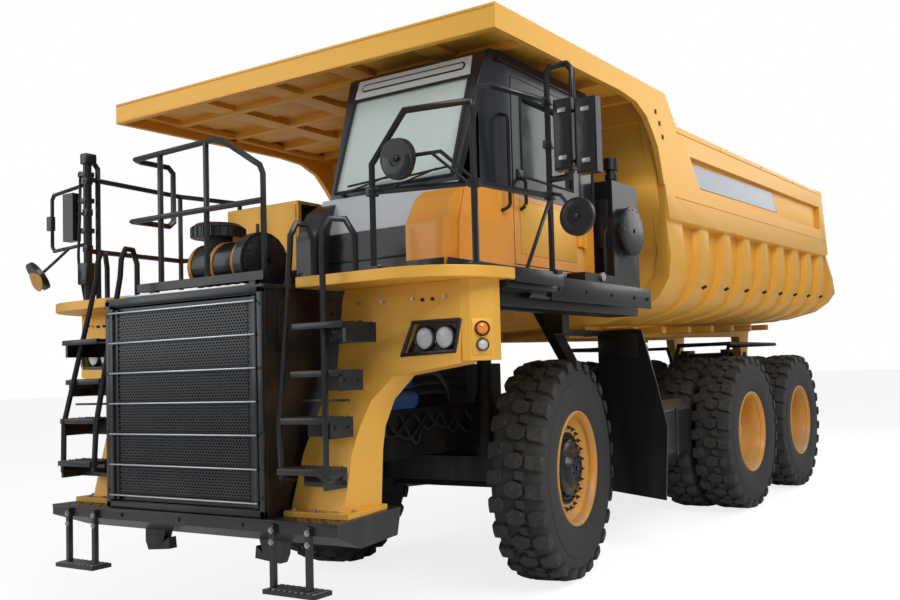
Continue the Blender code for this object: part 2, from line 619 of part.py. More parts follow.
def build_cab():
    outer = [
        (-2.00, CAB_FLOOR),
        (-1.98, 2.75),
        (-1.90, 3.02),
        (-1.60, 3.97),
        (-1.56, CAB_ROOF),
        (CAB_REAR - 0.05, CAB_ROOF),
        (CAB_REAR, CAB_ROOF - 0.05),
        (CAB_REAR, CAB_FLOOR),
    ]
    w = CAB_WALL
    inner = [
        (-2.00 + w, CAB_FLOOR + w),
        (-1.98 + w, 2.75),
        (-1.90 + w, 3.02),
        (-1.60 + w, 3.93),
        (-1.54 + w, CAB_ROOF - w),
        (CAB_REAR - 0.05 - w, CAB_ROOF - w),
        (CAB_REAR - w, CAB_ROOF - 0.05 - w),
        (CAB_REAR - w, CAB_FLOOR + w),
    ]
    shapes = [prism("X", outer, CAB_X0, CAB_X1)]
    for x0, x1 in ((CAB_X0, CAB_X0 + 0.17), (1.43, CAB_X1 - 0.02)):
        cheek = [(-2.12, CAB_FLOOR), (-2.12, 2.74), (-2.02, 2.92), (-1.90, 3.00), (-1.85, 3.00), (-1.90, CAB_FLOOR)]
        shapes.append(prism("X", cheek, x0, x1))
    cuts = [prism("X", inner, CAB_X0 + w, CAB_X1 - w)]
    # front corner chamfers, seen from above
    for x, inward in ((CAB_X1, -1), (CAB_X0, 1)):
        cuts.append(prism("Z", [(x + inward * 0.10, -2.3), (x - inward * 0.1, -2.3), (x - inward * 0.1, -1.45), (x, -1.45), (x + inward * 0.09, -1.86), (x + inward * 0.10, -1.90)], 3.01, 4.10))
    window = [(cab_front_at(3.08) - 0.2, 3.08), (cab_front_at(3.80) - 0.2, 3.80), (cab_front_at(3.80) + 0.2, 3.80), (cab_front_at(3.08) + 0.2, 3.08)]
    cuts.append(prism("X", window, CAB_X0 + 0.13, CAB_X1 - 0.13))
    side_window = [(-1.50, 3.06), (-1.42, 3.80), (-0.42, 3.80), (-0.42, 3.06)]
    cuts.append(prism("X", side_window, CAB_X0 - 0.1, CAB_X0 + 0.1))
    cuts.append(box(CAB_X1 - 0.1, CAB_X1 + 0.1, DOOR_FRONT, DOOR_REAR, DOOR_Z0, DOOR_Z1))
    cuts.append(box(0.72, 1.50, CAB_REAR - 0.2, CAB_REAR + 0.1, 3.10, 3.70))
    piece("cab_shell", "orange", (1.1, -1.1, CAB_FLOOR), shapes, cuts)
    m = 0.0006
    slope = 0.30 / 0.95
    shield = []
    for z, depth in ((3.08 + m, 0.012), (3.80 - m, 0.012), (3.80 - m, 0.026), (3.08 + m, 0.026)):
        shield.append((cab_front_at(z) + depth, z))
    piece("windshield", "glass", (1.1, -1.8, 3.4), [prism("X", shield, CAB_X0 + 0.13 + m, CAB_X1 - 0.13 - m)])
    pane = [(-1.50 + m, 3.06 + m), (-1.42 + m, 3.80 - m), (-0.42 - m, 3.80 - m), (-0.42 - m, 3.06 + m)]
    piece("side_window", "glass", (CAB_X0, -1.0, 3.4), [prism("X", pane, CAB_X0 + 0.015, CAB_X0 + 0.025)])
    piece("rear_window", "glass", (1.1, CAB_REAR, 3.4), [box(0.72 + m, 1.50 - m, CAB_REAR - 0.03, CAB_REAR - 0.02, 3.10 + m, 3.70 - m)])
    gap = 0.006
    door = box(CAB_X1 - w, CAB_X1 + 0.004, DOOR_FRONT + gap, DOOR_REAR - gap, DOOR_Z0 + gap, DOOR_Z1 - gap)
    glass = (DOOR_FRONT + 0.12, DOOR_REAR - 0.12, 3.16, 3.74)
    handle = tube([(CAB_X1, -1.27, 3.14), (CAB_X1 + 0.05, -1.27, 3.12), (CAB_X1 + 0.05, -1.27, 2.94), (CAB_X1, -1.27, 2.92)], 0.012, 6)
    hinge_x, hinge_y = CAB_X1 + HINGE_OUT, DOOR_REAR + 0.012
    hinges = []
    for z in (DOOR_Z0 + 0.20, DOOR_Z1 - 0.32):
        hinges.append(cylinder((hinge_x, hinge_y, z), (hinge_x, hinge_y, z + 0.12), HINGE_OUT - GAP, 12))
        hinges.append(box(CAB_X1 + 0.001, hinge_x, hinge_y - 0.10, hinge_y, z + 0.01, z + 0.11))
    piece("cab_door", "orange", (hinge_x, hinge_y, DOOR_Z0), [door, handle] + hinges, [box(CAB_X1 - 0.2, CAB_X1 + 0.2, *glass)])
    y0, y1, z0, z1 = glass
    piece("door_window", "glass", (CAB_X1, -0.9, 3.4), [box(CAB_X1 - 0.035, CAB_X1 - 0.025, y0 + m, y1 - m, z0 + m, z1 - m)])
    floor = CAB_FLOOR + w + GAP
    seat_x = 1.10
    seat = [
        box(seat_x - 0.20, seat_x + 0.20, -1.05, -0.55, floor, floor + 0.30),
        box(seat_x - 0.25, seat_x + 0.25, -1.15, -0.58, floor + 0.28, floor + 0.46),
        prism("X", [(-0.72, floor + 0.40), (-0.58, floor + 1.10), (-0.46, floor + 1.10), (-0.56, floor + 0.40)], seat_x - 0.24, seat_x + 0.24),
        box(seat_x - 0.13, seat_x + 0.13, -0.57, -0.47, floor + 1.05, floor + 1.27),
    ]
    piece("seat", "fabric", (seat_x, -0.8, floor), seat)
    column_top = Vector((seat_x, -1.44, floor + 0.74))
    tilt = Vector((0, 0.45, 0.89)).normalized()
    dash = [
        prism("X", [(-1.94, floor), (-1.92, 2.75), (-1.84, 2.99), (-1.70, 2.98), (-1.60, 2.86), (-1.66, floor)], CAB_X0 + 0.13, CAB_X1 - 0.13),
        cylinder(column_top - tilt * 0.40, column_top - tilt * (0.03 + GAP), 0.035, 12),
    ]
    piece("dashboard", "plastic", (seat_x, -1.8, floor), dash)
    ring = []
    turn = Vector((0, 0, 1)).rotation_difference(tilt).to_matrix()
    for k in range(16):
        angle = 2 * math.pi * k / 16
        ring.append(column_top + turn @ Vector((0.21 * math.cos(angle), 0.21 * math.sin(angle), 0)))
    wheel = [tube(ring, 0.015, 5, closed=True), cylinder(column_top - tilt * 0.03, column_top + tilt * 0.02, 0.05, 12)]
    for k in range(3):
        angle = math.radians(90 + 120 * k)
        spoke = column_top + turn @ Vector((0.205 * math.cos(angle), 0.205 * math.sin(angle), 0))
        wheel.append(tube([column_top, spoke], 0.012, 4))
    piece("steering_wheel", "plastic", column_top, wheel)


# ---------------------------------------------------------------- rails, mirrors and deck equipment
def build_left_rail():
    base = DECK_Z1 + GAP
    r = 0.021
    a, b, c = (1.45, -2.44), (2.02, -2.17), (2.10, -1.42)
    shapes = [
        tube([(*a, base), (*a, 3.07), (1.70, -2.42, 3.37), (b[0], b[1] - 0.02, 3.43), (b[0], b[1], 3.40), (b[0], b[1], base)], r, 6),
        tube([(b[0], b[1], 3.38), (b[0] + 0.01, b[1] + 0.05, 3.52), (b[0] + 0.02, b[1] + 0.16, 3.57), (c[0], c[1], 3.60)], r, 6),
        tube([(*a, 2.90), (b[0], b[1], 2.93), (c[0], c[1], 2.95)], r, 6),
        tube([(*c, base), (*c, 3.78), (c[0] + 0.02, c[1], 3.83), (c[0] + 0.16, c[1], 3.83), (c[0] + 0.20, c[1], 3.78), (c[0] + 0.20, c[1], 3.14), (c[0] + 0.16, c[1], 3.06), (*c, 3.06)], r, 6),
        tube([(*c, 2.93), (c[0] - 0.02, c[1] - 0.28, base + 0.02)], 0.014, 6),
        # arm and disc of the round mirror at the front corner
        tube([(b[0], b[1], 2.95), (1.92, -2.36, 3.10), (1.66, -2.42, 3.09)], 0.013, 6),
        tube([(b[0], b[1], 2.90), (1.86, -2.38, 3.10)], 0.010, 6),
        cylinder((1.66, -2.46, 3.07), (1.66, -2.43, 3.075), 0.125, 20),
        # arm and disc of the round mirror beside the cab
        tube([(*c, 2.97), (c[0] + 0.10, c[1] - 0.03, 2.94), (2.36, -1.50, 2.77)], 0.013, 6),
        cylinder((2.36, -1.53, 2.77), (2.36, -1.50, 2.77), 0.125, 20),
        # two flat mirrors side by side
        box(2.175, 2.315, c[1] - 0.05, c[1] + 0.02, 3.10, 3.58),
        box(2.345, MIRROR_OUT, c[1] - 0.05, c[1] + 0.02, 3.06, 3.56),
        tube([(c[0] + 0.19, c[1], 3.50), (2.42, c[1], 3.50)], 0.013, 6),
        tube([(c[0] + 0.19, c[1], 3.16), (2.42, c[1], 3.16)], 0.013, 6),
    ]
    for x, y in (a, b, c):
        shapes.append(box(x - 0.06, x + 0.06, y - 0.035, y + 0.035, base, base + 0.02))
    piece("left_rail", "black", (2.0, -2.0, base), shapes)


def build_front_rail():
    base = HOUSING_TOP + 0.012 + GAP
    y0 = -2.40
    r = 0.021
    shapes = [
        box(-0.86, 0.47, y0 - 0.03, y0 + 0.03, base + 0.07, base + 0.13),
        tube([(0.45, y0, base + 0.09), (0.45, y0, 3.16), (0.42, y0, 3.22), (0.06, y0, 3.44), (-0.02, y0, 3.46), (-0.90, y0, 3.44), (-0.94, y0 + 0.06, 3.44), (-0.94, y0 + 0.30, 3.44), (-0.94, y0 + 0.34, 3.40), (-0.94, y0 + 0.34, 3.02), (-0.94, y0 + 0.30, 2.98), (-0.94, y0, 2.98), (-0.90, y0, 2.98), (0.45, y0, 2.98)], r, 6),
    ]
    for x in (-0.62, -0.12):
        shapes.append(tube([(x, y0, base + 0.09), (x, y0, 3.45)], r, 6))
    for x in (-0.70, 0.35):
        shapes.append(box(x - 0.03, x + 0.03, y0 - 0.02, y0 + 0.02, base, base + 0.10))
    piece("front_rail", "black", (0, y0, base), shapes)


def build_right_rail():
    base = DECK_Z1 + GAP
    r = 0.021
    a, b, c = (-1.95, -2.12), (-1.95, -1.25), (-1.40, -1.05)
    shapes = [
        tube([(*a, base), (*a, 3.66)], 0.032, 8),
        tube([(a[0], a[1] + 0.09, base), (a[0], a[1] + 0.09, 3.58), (a[0], a[1] + 0.04, 3.64), (*a, 3.64)], r, 6),
        tube([(a[0], a[1], 3.48), (b[0], b[1], 3.46), (c[0], c[1], 3.36)], r, 6),
        tube([(a[0], a[1], 2.88), (b[0], b[1], 2.87), (c[0], c[1], 2.86)], r, 6),
        tube([(*b, base), (*b, 3.46)], r, 6),
        tube([(*c, base), (*c, 3.37)], r, 6),
        # loop outboard of the column, with the flat mirror
        tube([(a[0], a[1], 3.44), (-2.42, a[1], 3.40), (-2.45, a[1], 3.36), (-2.45, a[1], 2.96), (-2.42, a[1], 2.92), (a[0], a[1], 2.94)], 0.016, 6),
        box(-2.24, -2.10, a[1] - 0.035, a[1] + 0.035, 2.98, 3.38),
        tube([(a[0], a[1], 3.20), (-2.12, a[1], 3.20)], 0.013, 6),
        # arm and disc of the round mirror
        tube([(-2.20, a[1], 2.93), (-2.26, a[1] - 0.08, 2.82), (-2.35, a[1] - 0.16, 2.70)], 0.012, 6),
        cylinder((-2.352, a[1] - 0.16, 2.70), (-2.36, a[1] - 0.19, 2.68), 0.125, 20),
        box(-MIRROR_OUT, -2.44, a[1] - 0.02, a[1] + 0.02, 3.10, 3.22),
    ]
    for x, y in (a, b, c):
        shapes.append(box(x - 0.06, x + 0.06, y - 0.05, y + 0.05, base, base + 0.02))
    piece("right_rail", "black", (-1.9, -2.0, base), shapes)


def build_deck_equipment():
    base = HOUSING_TOP + 0.012 + GAP
    cleaner = [
        cylinder((-0.46, -2.14, base + 0.235), (0.10, -2.14, base + 0.235), 0.17, 16),
        cylinder((0.08, -2.14, base + 0.235), (0.16, -2.14, base + 0.235), 0.215, 20),
        cylinder((-0.30, -2.16, base + 0.30), (-0.30, -2.16, base + 0.47), 0.10),
        cylinder((-0.30, -2.16, base + 0.44), (-0.30, -2.16, base + 0.52), 0.185, 20),
        box(-0.40, -0.30, -2.20, -2.08, base, base + 0.12),
        box(-0.05, 0.05, -2.20, -2.08, base, base + 0.12),
    ]
    piece("air_cleaner", "steel", (0, -2.14, base), cleaner)
    top = DECK_Z1 + GAP
    cabinet = [
        box(-1.26, -0.40, -1.30, -0.35, top, 3.24),
    ]
    piece("control_cabinet", "orange", (-0.9, -0.8, top), cabinet)
    piece("engine_cover", "black", (0, -0.8, top), [box(-0.37, 0.43, -1.70, 0.06, top, 2.60)])
    tank = [
        box(1.58, 1.90, -0.12, 0.34, top, 3.30),
        cylinder((1.88, 0.12, 2.90), (1.95, 0.12, 2.90), 0.20, 20),
        cylinder((1.72, 0.22, 3.28), (1.72, 0.22, 3.48), 0.045),
        cylinder((1.72, 0.22, 3.46), (1.72, 0.22, 3.56), 0.065),
        box(1.80, 1.96, -0.72, -0.10, top, 2.50),
    ]
    piece("side_tank", "black", (1.7, 0.1, top), tank)


# ---------------------------------------------------------------- tipping body
def lift(y):
    """How far the body's lines have climbed at a place along the truck."""
    return (y - BODY_FRONT) * BODY_TILT


def body_half_outline(side_x, band_z, low_x):
    """Outer half section, from the top rail round to the keel, before the lift: (x, z)."""
    return [
        (BODY_HALF, 3.98),
        (BODY_HALF, 3.60),
        (side_x, band_z),
        (low_x, band_z - 0.012),
        (low_x, 2.78),
        (low_x - 0.045, 2.58),
        (low_x - 0.16, 2.40),
        (low_x - 0.36, 2.27),
        (low_x - 0.72, 2.19),
        (0.60, 2.17),
    ]


def build_body():
    inner_half = [
        (BODY_INNER_X, 3.98),
        (BODY_INNER_X, 2.82),
        (BODY_INNER_X - 0.06, 2.62),
        (BODY_INNER_X - 0.20, 2.46),
        (BODY_INNER_X - 0.45, 2.36),
        (1.10, 2.32),
        (0.55, 2.31),
    ]
    ribs, first_rib, rib_pitch, rib_width = 8, 1.75, 0.63, 0.20
    # columns: where along the truck, True on a rib's outer face
    stations = [(BODY_FRONT, True), (1.26, True), (1.275, False)]
    for k in range(ribs):
        middle = first_rib + rib_pitch * k
        stations += [
            (middle - rib_width / 2 - 0.015, False),
            (middle - rib_width / 2, True),
            (middle + rib_width / 2, True),
            (middle + rib_width / 2 + 0.015, False),
        ]
    stations += [(BODY_REAR - 0.30, False), (BODY_REAR - 0.285, True), (BODY_REAR, True)]

    def tail_shift(z):
        """How far forward of the tail the rear edge stands at a height."""
        # columns: z, shift
        table = [(2.55, 0.0), (2.69, -0.22), (3.08, -0.67), (3.99, -0.90)]
        if z <= table[0][0]:
            return 0.0
        for (z0, s0), (z1, s1) in zip(table, table[1:]):
            if z <= z1:
                return s0 + (s1 - s0) * (z - z0) / (z1 - z0)
        return table[-1][1]

    def shell(bm):
        rings = []
        for y, on_rib in stations:
            low_x = BODY_RIB_X if on_rib else BODY_WALL_X
            outer = body_half_outline(BODY_HALF, 3.10, low_x)
            whole = mirrored(outer) + [(-x, z) for x, z in inner_half] + list(reversed(inner_half))
            ring = []
            for x, z in whole:
                back = (y - BODY_FRONT) / (BODY_REAR - BODY_FRONT)
                # the front edge leans forward at the top, and so does the tail
                front_lean = -0.33 * max(z - 2.6, 0.0) / 1.4
                tail_from = 6.275 if z < 3.2 else 5.6
                tail = max(0.0, (y - tail_from) / (BODY_REAR - tail_from))
                lean = front_lean * max(0.0, 1 - back * 8) + tail_shift(z) * tail
                climb = 0.05 * max(0.0, (back - 0.9) / 0.1) if z < 2.5 else 0.0
                ring.append(bm.verts.new((x, y + lean, z + lift(y) + climb)))
            rings.append(ring)
        count = len(rings[0])
        faces = [bm.faces.new(rings[0]), bm.faces.new(rings[-1])]
        for near, far in zip(rings, rings[1:]):
            for k in range(count):
                j = (k + 1) % count
                faces.append(bm.faces.new((near[k], near[j], far[j], far[k])))
        bmesh.ops.recalc_face_normals(bm, faces=faces)

    def head_board(bm):
        """The leaning front wall, from the floor up to the canopy."""
        rows = [
            # columns: half width, front y, z
            (1.16, BODY_FRONT + 0.02, 2.20),
            (1.50, BODY_FRONT + 0.02, 2.27),
            (1.80, BODY_FRONT + 0.01, 2.52),
            (1.86, BODY_FRONT + 0.00, 2.70),
            (1.90, BODY_FRONT - 0.20, 3.40),
            (1.90, BODY_FRONT - 0.30, 4.02),
        ]
        rings = []
        for half, front, z in rows:
            spots = ((half, front), (half, front + 0.06), (-half, front + 0.06), (-half, front))
            rings.append([bm.verts.new((x, y, z)) for x, y in spots])
        faces = [bm.faces.new(rings[0]), bm.faces.new(rings[-1])]
        for near, far in zip(rings, rings[1:]):
            for k in range(4):
                j = (k + 1) % 4
                faces.append(bm.faces.new((near[k], near[j], far[j], far[k])))
        bmesh.ops.recalc_face_normals(bm, faces=faces)

    # columns: y, z of the side plates that carry the canopy
    side_plate = [
        (CANOPY_FRONT, 4.005),
        (-0.07, 4.04),
        (0.22, 4.02),
        (0.42, 3.94),
        (0.56, 3.80),
        (0.64, 3.70),
        (0.74, 3.40),
        (1.02, 3.40),
        (1.05, 3.99),
        (0.83, 4.235),
        (CANOPY_FRONT, 4.175),
    ]
    roof = [
        (CANOPY_FRONT, 4.125),
        (CANOPY_FRONT, 4.165),
        (0.80, 4.225),
        (0.80, 4.185),
    ]
    front_board = box(-BODY_HALF + 0.01, BODY_HALF - 0.01, CANOPY_FRONT, CANOPY_FRONT + 0.04, 4.005, 4.172)
    shapes = [shell, head_board]
    for side in (1, -1):
        shapes.append(prism("X", side_plate, *sorted((side * (BODY_HALF - 0.05), side * BODY_HALF))))
    shapes += [prism("X", roof, -BODY_HALF + 0.02, BODY_HALF - 0.02), front_board]
    # lengthwise boxes under the roof
    for x in (-1.20, -0.40, 0.40, 1.20):
        shapes.append(prism("X", [(-1.70, 4.09), (-1.70, 4.15), (0.72, 4.20), (0.72, 4.10)], x - 0.10, x + 0.10))
    # sloping plate that joins the head board to the roof
    shapes.append(prism("X", [(0.62, 3.96), (0.68, 3.96), (0.80, 4.21), (0.60, 4.20)], -1.93, 1.93))
    # beams under the floor, hinge ears and hoist ears
    for side in (1, -1):
        keel = [(1.30, 2.08), (1.30, 2.26), (6.90, 2.40), (6.90, 2.26), (6.4, 2.16)]
        shapes.append(prism("X", keel, *sorted((side * 0.46, side * 0.62))))
        ear = [(TIP_Y - 0.11, TIP_Z - 0.09), (TIP_Y - 0.25, 2.30), (TIP_Y + 0.25, 2.34), (TIP_Y + 0.11, TIP_Z - 0.09)]
        shapes.append(prism("X", ear, *sorted((side * 0.47, side * 0.60))))
        low, high = sorted((side * (HOIST_X - 0.035), side * (HOIST_X + 0.035)))
        shapes.append(prism("X", [(HOIST_EYE[0] - 0.07, HOIST_EYE[1] + 0.09), (HOIST_EYE[0] - 0.12, 2.32), (HOIST_EYE[0] + 0.12, 2.32), (HOIST_EYE[0] + 0.07, HOIST_EYE[1] + 0.09)], low, high))
        bevel = [(1.5, 2.09), (1.35, 2.14), (1.35, 2.30), (3.1, 2.32), (3.2, 2.14)]
        shapes.append(prism("X", bevel, *sorted((side * 0.70, side * 0.78))))
    cuts = [cylinder((-0.70, TIP_Y, TIP_Z), (0.70, TIP_Y, TIP_Z), bore_for(TIP_PIN_R, PIN_SIDES), PIN_SIDES)]
    # recessed panel in each side, and the three small slots ahead of it
    panel = [(1.36, 3.76), (6.05, 3.92), (6.05, 3.60), (1.62, 3.44)]
    for side in (1, -1):
        cuts.append(prism("X", panel, *sorted((side * (BODY_HALF - 0.06), side * (BODY_HALF + 0.1)))))
    piece("dump_body", "orange", (0, TIP_Y, TIP_Z), shapes, cuts)


def build_hoist(suffix, side):
    x = side * HOIST_X
    base = Vector((x, *HOIST_BASE))
    eye = Vector((x, *HOIST_EYE))
    along = (eye - base).normalized()
    total = (eye - base).length
    bore = HOIST_ROD_R + GAP
    barrel = turned_bar(base, along, [(-0.06, 0.02), (-0.06, 0.085), (0.10, 0.095), (total - 0.28, 0.095), (total - 0.28, bore), (0.24, bore), (0.24, 0.02)])
    piece("hoist_barrel_" + suffix, "black", base, [barrel, cylinder(base + along * 0.08, base + along * 0.22, 0.09)], [cylinder(base - Vector((0.12, 0, 0)), base + Vector((0.12, 0, 0)), bore_for(HOIST_PIN_R, PIN_SIDES), PIN_SIDES)])
    rod = [
        cylinder(base + along * 0.26, base + along * (total - 0.07), HOIST_ROD_R, 16),
        cylinder(eye - Vector((0.030, 0, 0)), eye + Vector((0.030, 0, 0)), 0.085, 16),
    ]
    piece("hoist_rod_" + suffix, "steel", eye, rod)


def turned_bar(start, along, outline):
    """A closed outline of (along, radius) turned about a line."""

    def add(bm):
        side = Vector((1, 0, 0))
        across = along.cross(side).normalized()
        rings = []
        for out, radius in outline:
            ring = []
            for k in range(16):
                turn = 2 * math.pi * k / 16
                spot = side * (radius * math.cos(turn)) + across * (radius * math.sin(turn))
                ring.append(bm.verts.new(start + along * out + spot))
            rings.append(ring)
        faces = []
        for i in range(len(rings)):
            near, far = rings[i], rings[(i + 1) % len(rings)]
            for k in range(16):
                j = (k + 1) % 16
                faces.append(bm.faces.new((near[k], near[j], far[j], far[k])))
        bmesh.ops.recalc_face_normals(bm, faces=faces)

    return add


# ---------------------------------------------------------------- the truck
def main():
    clear_scene()
    build_chassis()
    build_bumper()
    build_nose()
    for name, side in (("left", 1), ("right", -1)):
        build_front_fender("fender_" + name, side)
        build_ladder("ladder_" + name, side)
        build_mudflap("mudflap_" + name, side)
    build_deck()
    build_tanks()
    arm_left = build_front_wheel("front_left", 1)
    arm_right = build_front_wheel("front_right", -1)
    build_axles(arm_left, arm_right)
    for name, axle_y in (("middle", AXLE2_Y), ("rear", AXLE3_Y)):
        build_dual_wheel(name + "_left", axle_y, 1)
        build_dual_wheel(name + "_right", axle_y, -1)
    build_cab()
    build_left_rail()
    build_front_rail()
    build_right_rail()
    build_deck_equipment()
    build_body()
    build_hoist("left", 1)
    build_hoist("right", -1)


main()
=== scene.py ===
"""Looks of the mining dump truck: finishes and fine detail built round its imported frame."""

from __future__ import annotations

import json
import logging
import math
import random
from dataclasses import dataclass, field
from enum import Enum
from typing import Callable, Iterable, Sequence

import bmesh  # noqa: E402
import bpy  # noqa: E402
from mathutils import Matrix, Vector  # noqa: E402

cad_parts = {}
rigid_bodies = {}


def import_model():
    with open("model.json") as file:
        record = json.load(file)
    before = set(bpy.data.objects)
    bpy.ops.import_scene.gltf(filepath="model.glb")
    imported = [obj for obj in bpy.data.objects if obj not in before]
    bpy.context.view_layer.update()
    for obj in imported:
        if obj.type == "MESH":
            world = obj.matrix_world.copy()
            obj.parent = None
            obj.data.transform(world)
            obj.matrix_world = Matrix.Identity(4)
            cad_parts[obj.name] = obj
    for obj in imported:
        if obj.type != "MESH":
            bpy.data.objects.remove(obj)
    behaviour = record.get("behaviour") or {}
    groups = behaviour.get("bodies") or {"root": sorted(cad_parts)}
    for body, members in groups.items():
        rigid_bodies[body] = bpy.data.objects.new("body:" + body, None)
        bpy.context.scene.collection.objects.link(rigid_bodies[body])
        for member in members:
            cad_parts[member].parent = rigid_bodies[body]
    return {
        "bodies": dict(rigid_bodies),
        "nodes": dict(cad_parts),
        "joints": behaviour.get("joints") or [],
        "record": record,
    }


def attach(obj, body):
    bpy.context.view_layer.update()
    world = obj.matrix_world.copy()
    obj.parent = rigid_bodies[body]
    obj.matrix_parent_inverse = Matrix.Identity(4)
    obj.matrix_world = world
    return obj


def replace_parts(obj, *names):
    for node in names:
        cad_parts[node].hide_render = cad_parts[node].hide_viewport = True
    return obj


LOG = logging.getLogger("dump_truck")
FRONT_AXLE_Y = -2.15
"""Where the front axle's line lies in the row frame. Shapes are drawn from that line."""
AXLE_HEIGHT = 0.93
Point = Sequence[float]


# ---------------------------------------------------------------- shader maths
class Field:
    """A shader socket that Python arithmetic can combine."""

    def __init__(self, tree: "Tree", socket: bpy.types.NodeSocket) -> None:
        """Wraps one output socket of a tree."""
        self.tree = tree
        self.socket = socket

    def math(self, operation: str, *others: "Field | float", swap: bool = False) -> "Field":
        """Adds one Math node.

        Args:
            operation: the node's operation.
            others: its other values.
            swap: True puts this field second.

        Returns:
            The node's result.
        """
        values = [self, *others]
        if swap:
            values.reverse()
        return self.tree.node("ShaderNodeMath", {"operation": operation}, dict(enumerate(values)))

    def __add__(self, other: "Field | float") -> "Field":
        """Sum."""
        return self.math("ADD", other)

    def __sub__(self, other: "Field | float") -> "Field":
        """Difference."""
        return self.math("SUBTRACT", other)

    def __rsub__(self, other: "Field | float") -> "Field":
        """Difference from a number."""
        return self.math("SUBTRACT", other, swap=True)

    def __mul__(self, other: "Field | float") -> "Field":
        """Product."""
        return self.math("MULTIPLY", other)

    def __truediv__(self, other: "Field | float") -> "Field":
        """Quotient."""
        return self.math("DIVIDE", other)

    def __rtruediv__(self, other: "Field | float") -> "Field":
        """Quotient of a number by this."""
        return self.math("DIVIDE", other, swap=True)

    def __gt__(self, other: "Field | float") -> "Field":
        """1 where this is the larger."""
        return self.math("GREATER_THAN", other)

    def __lt__(self, other: "Field | float") -> "Field":
        """1 where this is the smaller."""
        return self.math("LESS_THAN", other)

    __radd__ = __add__
    __rmul__ = __mul__

    def ramp(self, low: float, high: float, out_low: float = 0.0, out_high: float = 1.0) -> "Field":
        """Maps low..high smoothly to out_low..out_high."""
        settings = {"interpolation_type": "SMOOTHSTEP"}
        return self.tree.node(
            "ShaderNodeMapRange", settings, {0: self, 1: low, 2: high, 3: out_low, 4: out_high},
        )


class Tree:
    """One material's nodes."""

    def __init__(self, name: str) -> None:
        """Starts a material with an empty tree."""
        self.material = bpy.data.materials.new(name)
        self.material.use_nodes = True
        self.nodes = self.material.node_tree.nodes
        self.nodes.clear()
        self.links = self.material.node_tree.links

    def node(
        self, kind: str, settings: dict | None = None, values: dict | None = None, out: int | str = 0,
    ) -> Field:
        """Adds a node.

        Args:
            kind: the node's type.
            settings: its properties, set first; stops fills a colour ramp.
            values: what goes into its sockets, by name or number.
            out: the output socket that is returned.

        Returns:
            The chosen output.
        """
        made = self.nodes.new(kind)
        for key, value in (settings or {}).items():
            if key == "stops":
                for index, (place, colour) in enumerate(value):
                    stops = made.color_ramp.elements
                    stop = stops[index] if index < 2 else stops.new(place)
                    stop.position = place
                    stop.color = (*colour, 1.0)
            else:
                setattr(made, key, value)
        for key, value in (values or {}).items():
            self.plug(made.inputs[key], value)
        return Field(self, made.outputs[out] if made.outputs else None)

    def plug(self, socket: bpy.types.NodeSocket, value: "Field | float | Sequence[float]") -> None:
        """Links a field to a socket, or sets the socket's own value."""
        if isinstance(value, Field):
            self.links.new(value.socket, socket)
        elif socket.type == "RGBA" and len(value) == 3:
            socket.default_value = (*value, 1.0)
        else:
            socket.default_value = value

    def place(self) -> Field:
        """The point's place on the object."""
        return self.node("ShaderNodeTexCoord", out="Object")

    def axis(self, letter: str) -> Field:
        """One coordinate of the point's place."""
        return self.node("ShaderNodeSeparateXYZ", values={0: self.place()}, out=letter)

    def facing(self, letter: str) -> Field:
        """One coordinate of the surface's normal."""
        normal = self.node("ShaderNodeNewGeometry", out="Normal")
        return self.node("ShaderNodeSeparateXYZ", values={0: normal}, out=letter)

    def noise(
        self, scale: float, detail: float = 4.0, stretch: Point = (1, 1, 1), rough: float = 0.55,
    ) -> Field:
        """Clouds of about 1/scale metres, pulled out of shape by stretch."""
        where = self.node("ShaderNodeMapping", values={"Vector": self.place(), "Scale": stretch})
        values = {"Vector": where, "Scale": scale, "Detail": detail, "Roughness": rough}
        return self.node("ShaderNodeTexNoise", values=values)

    def cells(self, scale: float, feature: str = "F1") -> Field:
        """Distance to the nearest of scattered points."""
        return self.node(
            "ShaderNodeTexVoronoi", {"feature": feature}, {"Vector": self.place(), "Scale": scale},
        )

    def blend(self, low: "Field | Point", high: "Field | Point", share: "Field | float") -> Field:
        """Mixes two colours."""
        return self.node("ShaderNodeMix", {"data_type": "RGBA"}, {0: share, 6: low, 7: high}, out=2)

    def bump(self, height: Field, strength: float, distance: float) -> Field:
        """A normal that leans as the height changes."""
        values = {"Height": height, "Strength": strength, "Distance": distance}
        return self.node("ShaderNodeBump", values=values)

    def surface(self, sockets: dict) -> bpy.types.Material:
        """Ends the tree in a Principled surface."""
        shader = self.node("ShaderNodeBsdfPrincipled", values=sockets)
        self.node("ShaderNodeOutputMaterial", values={"Surface": shader})
        return self.material


DUST = (0.33, 0.27, 0.20)


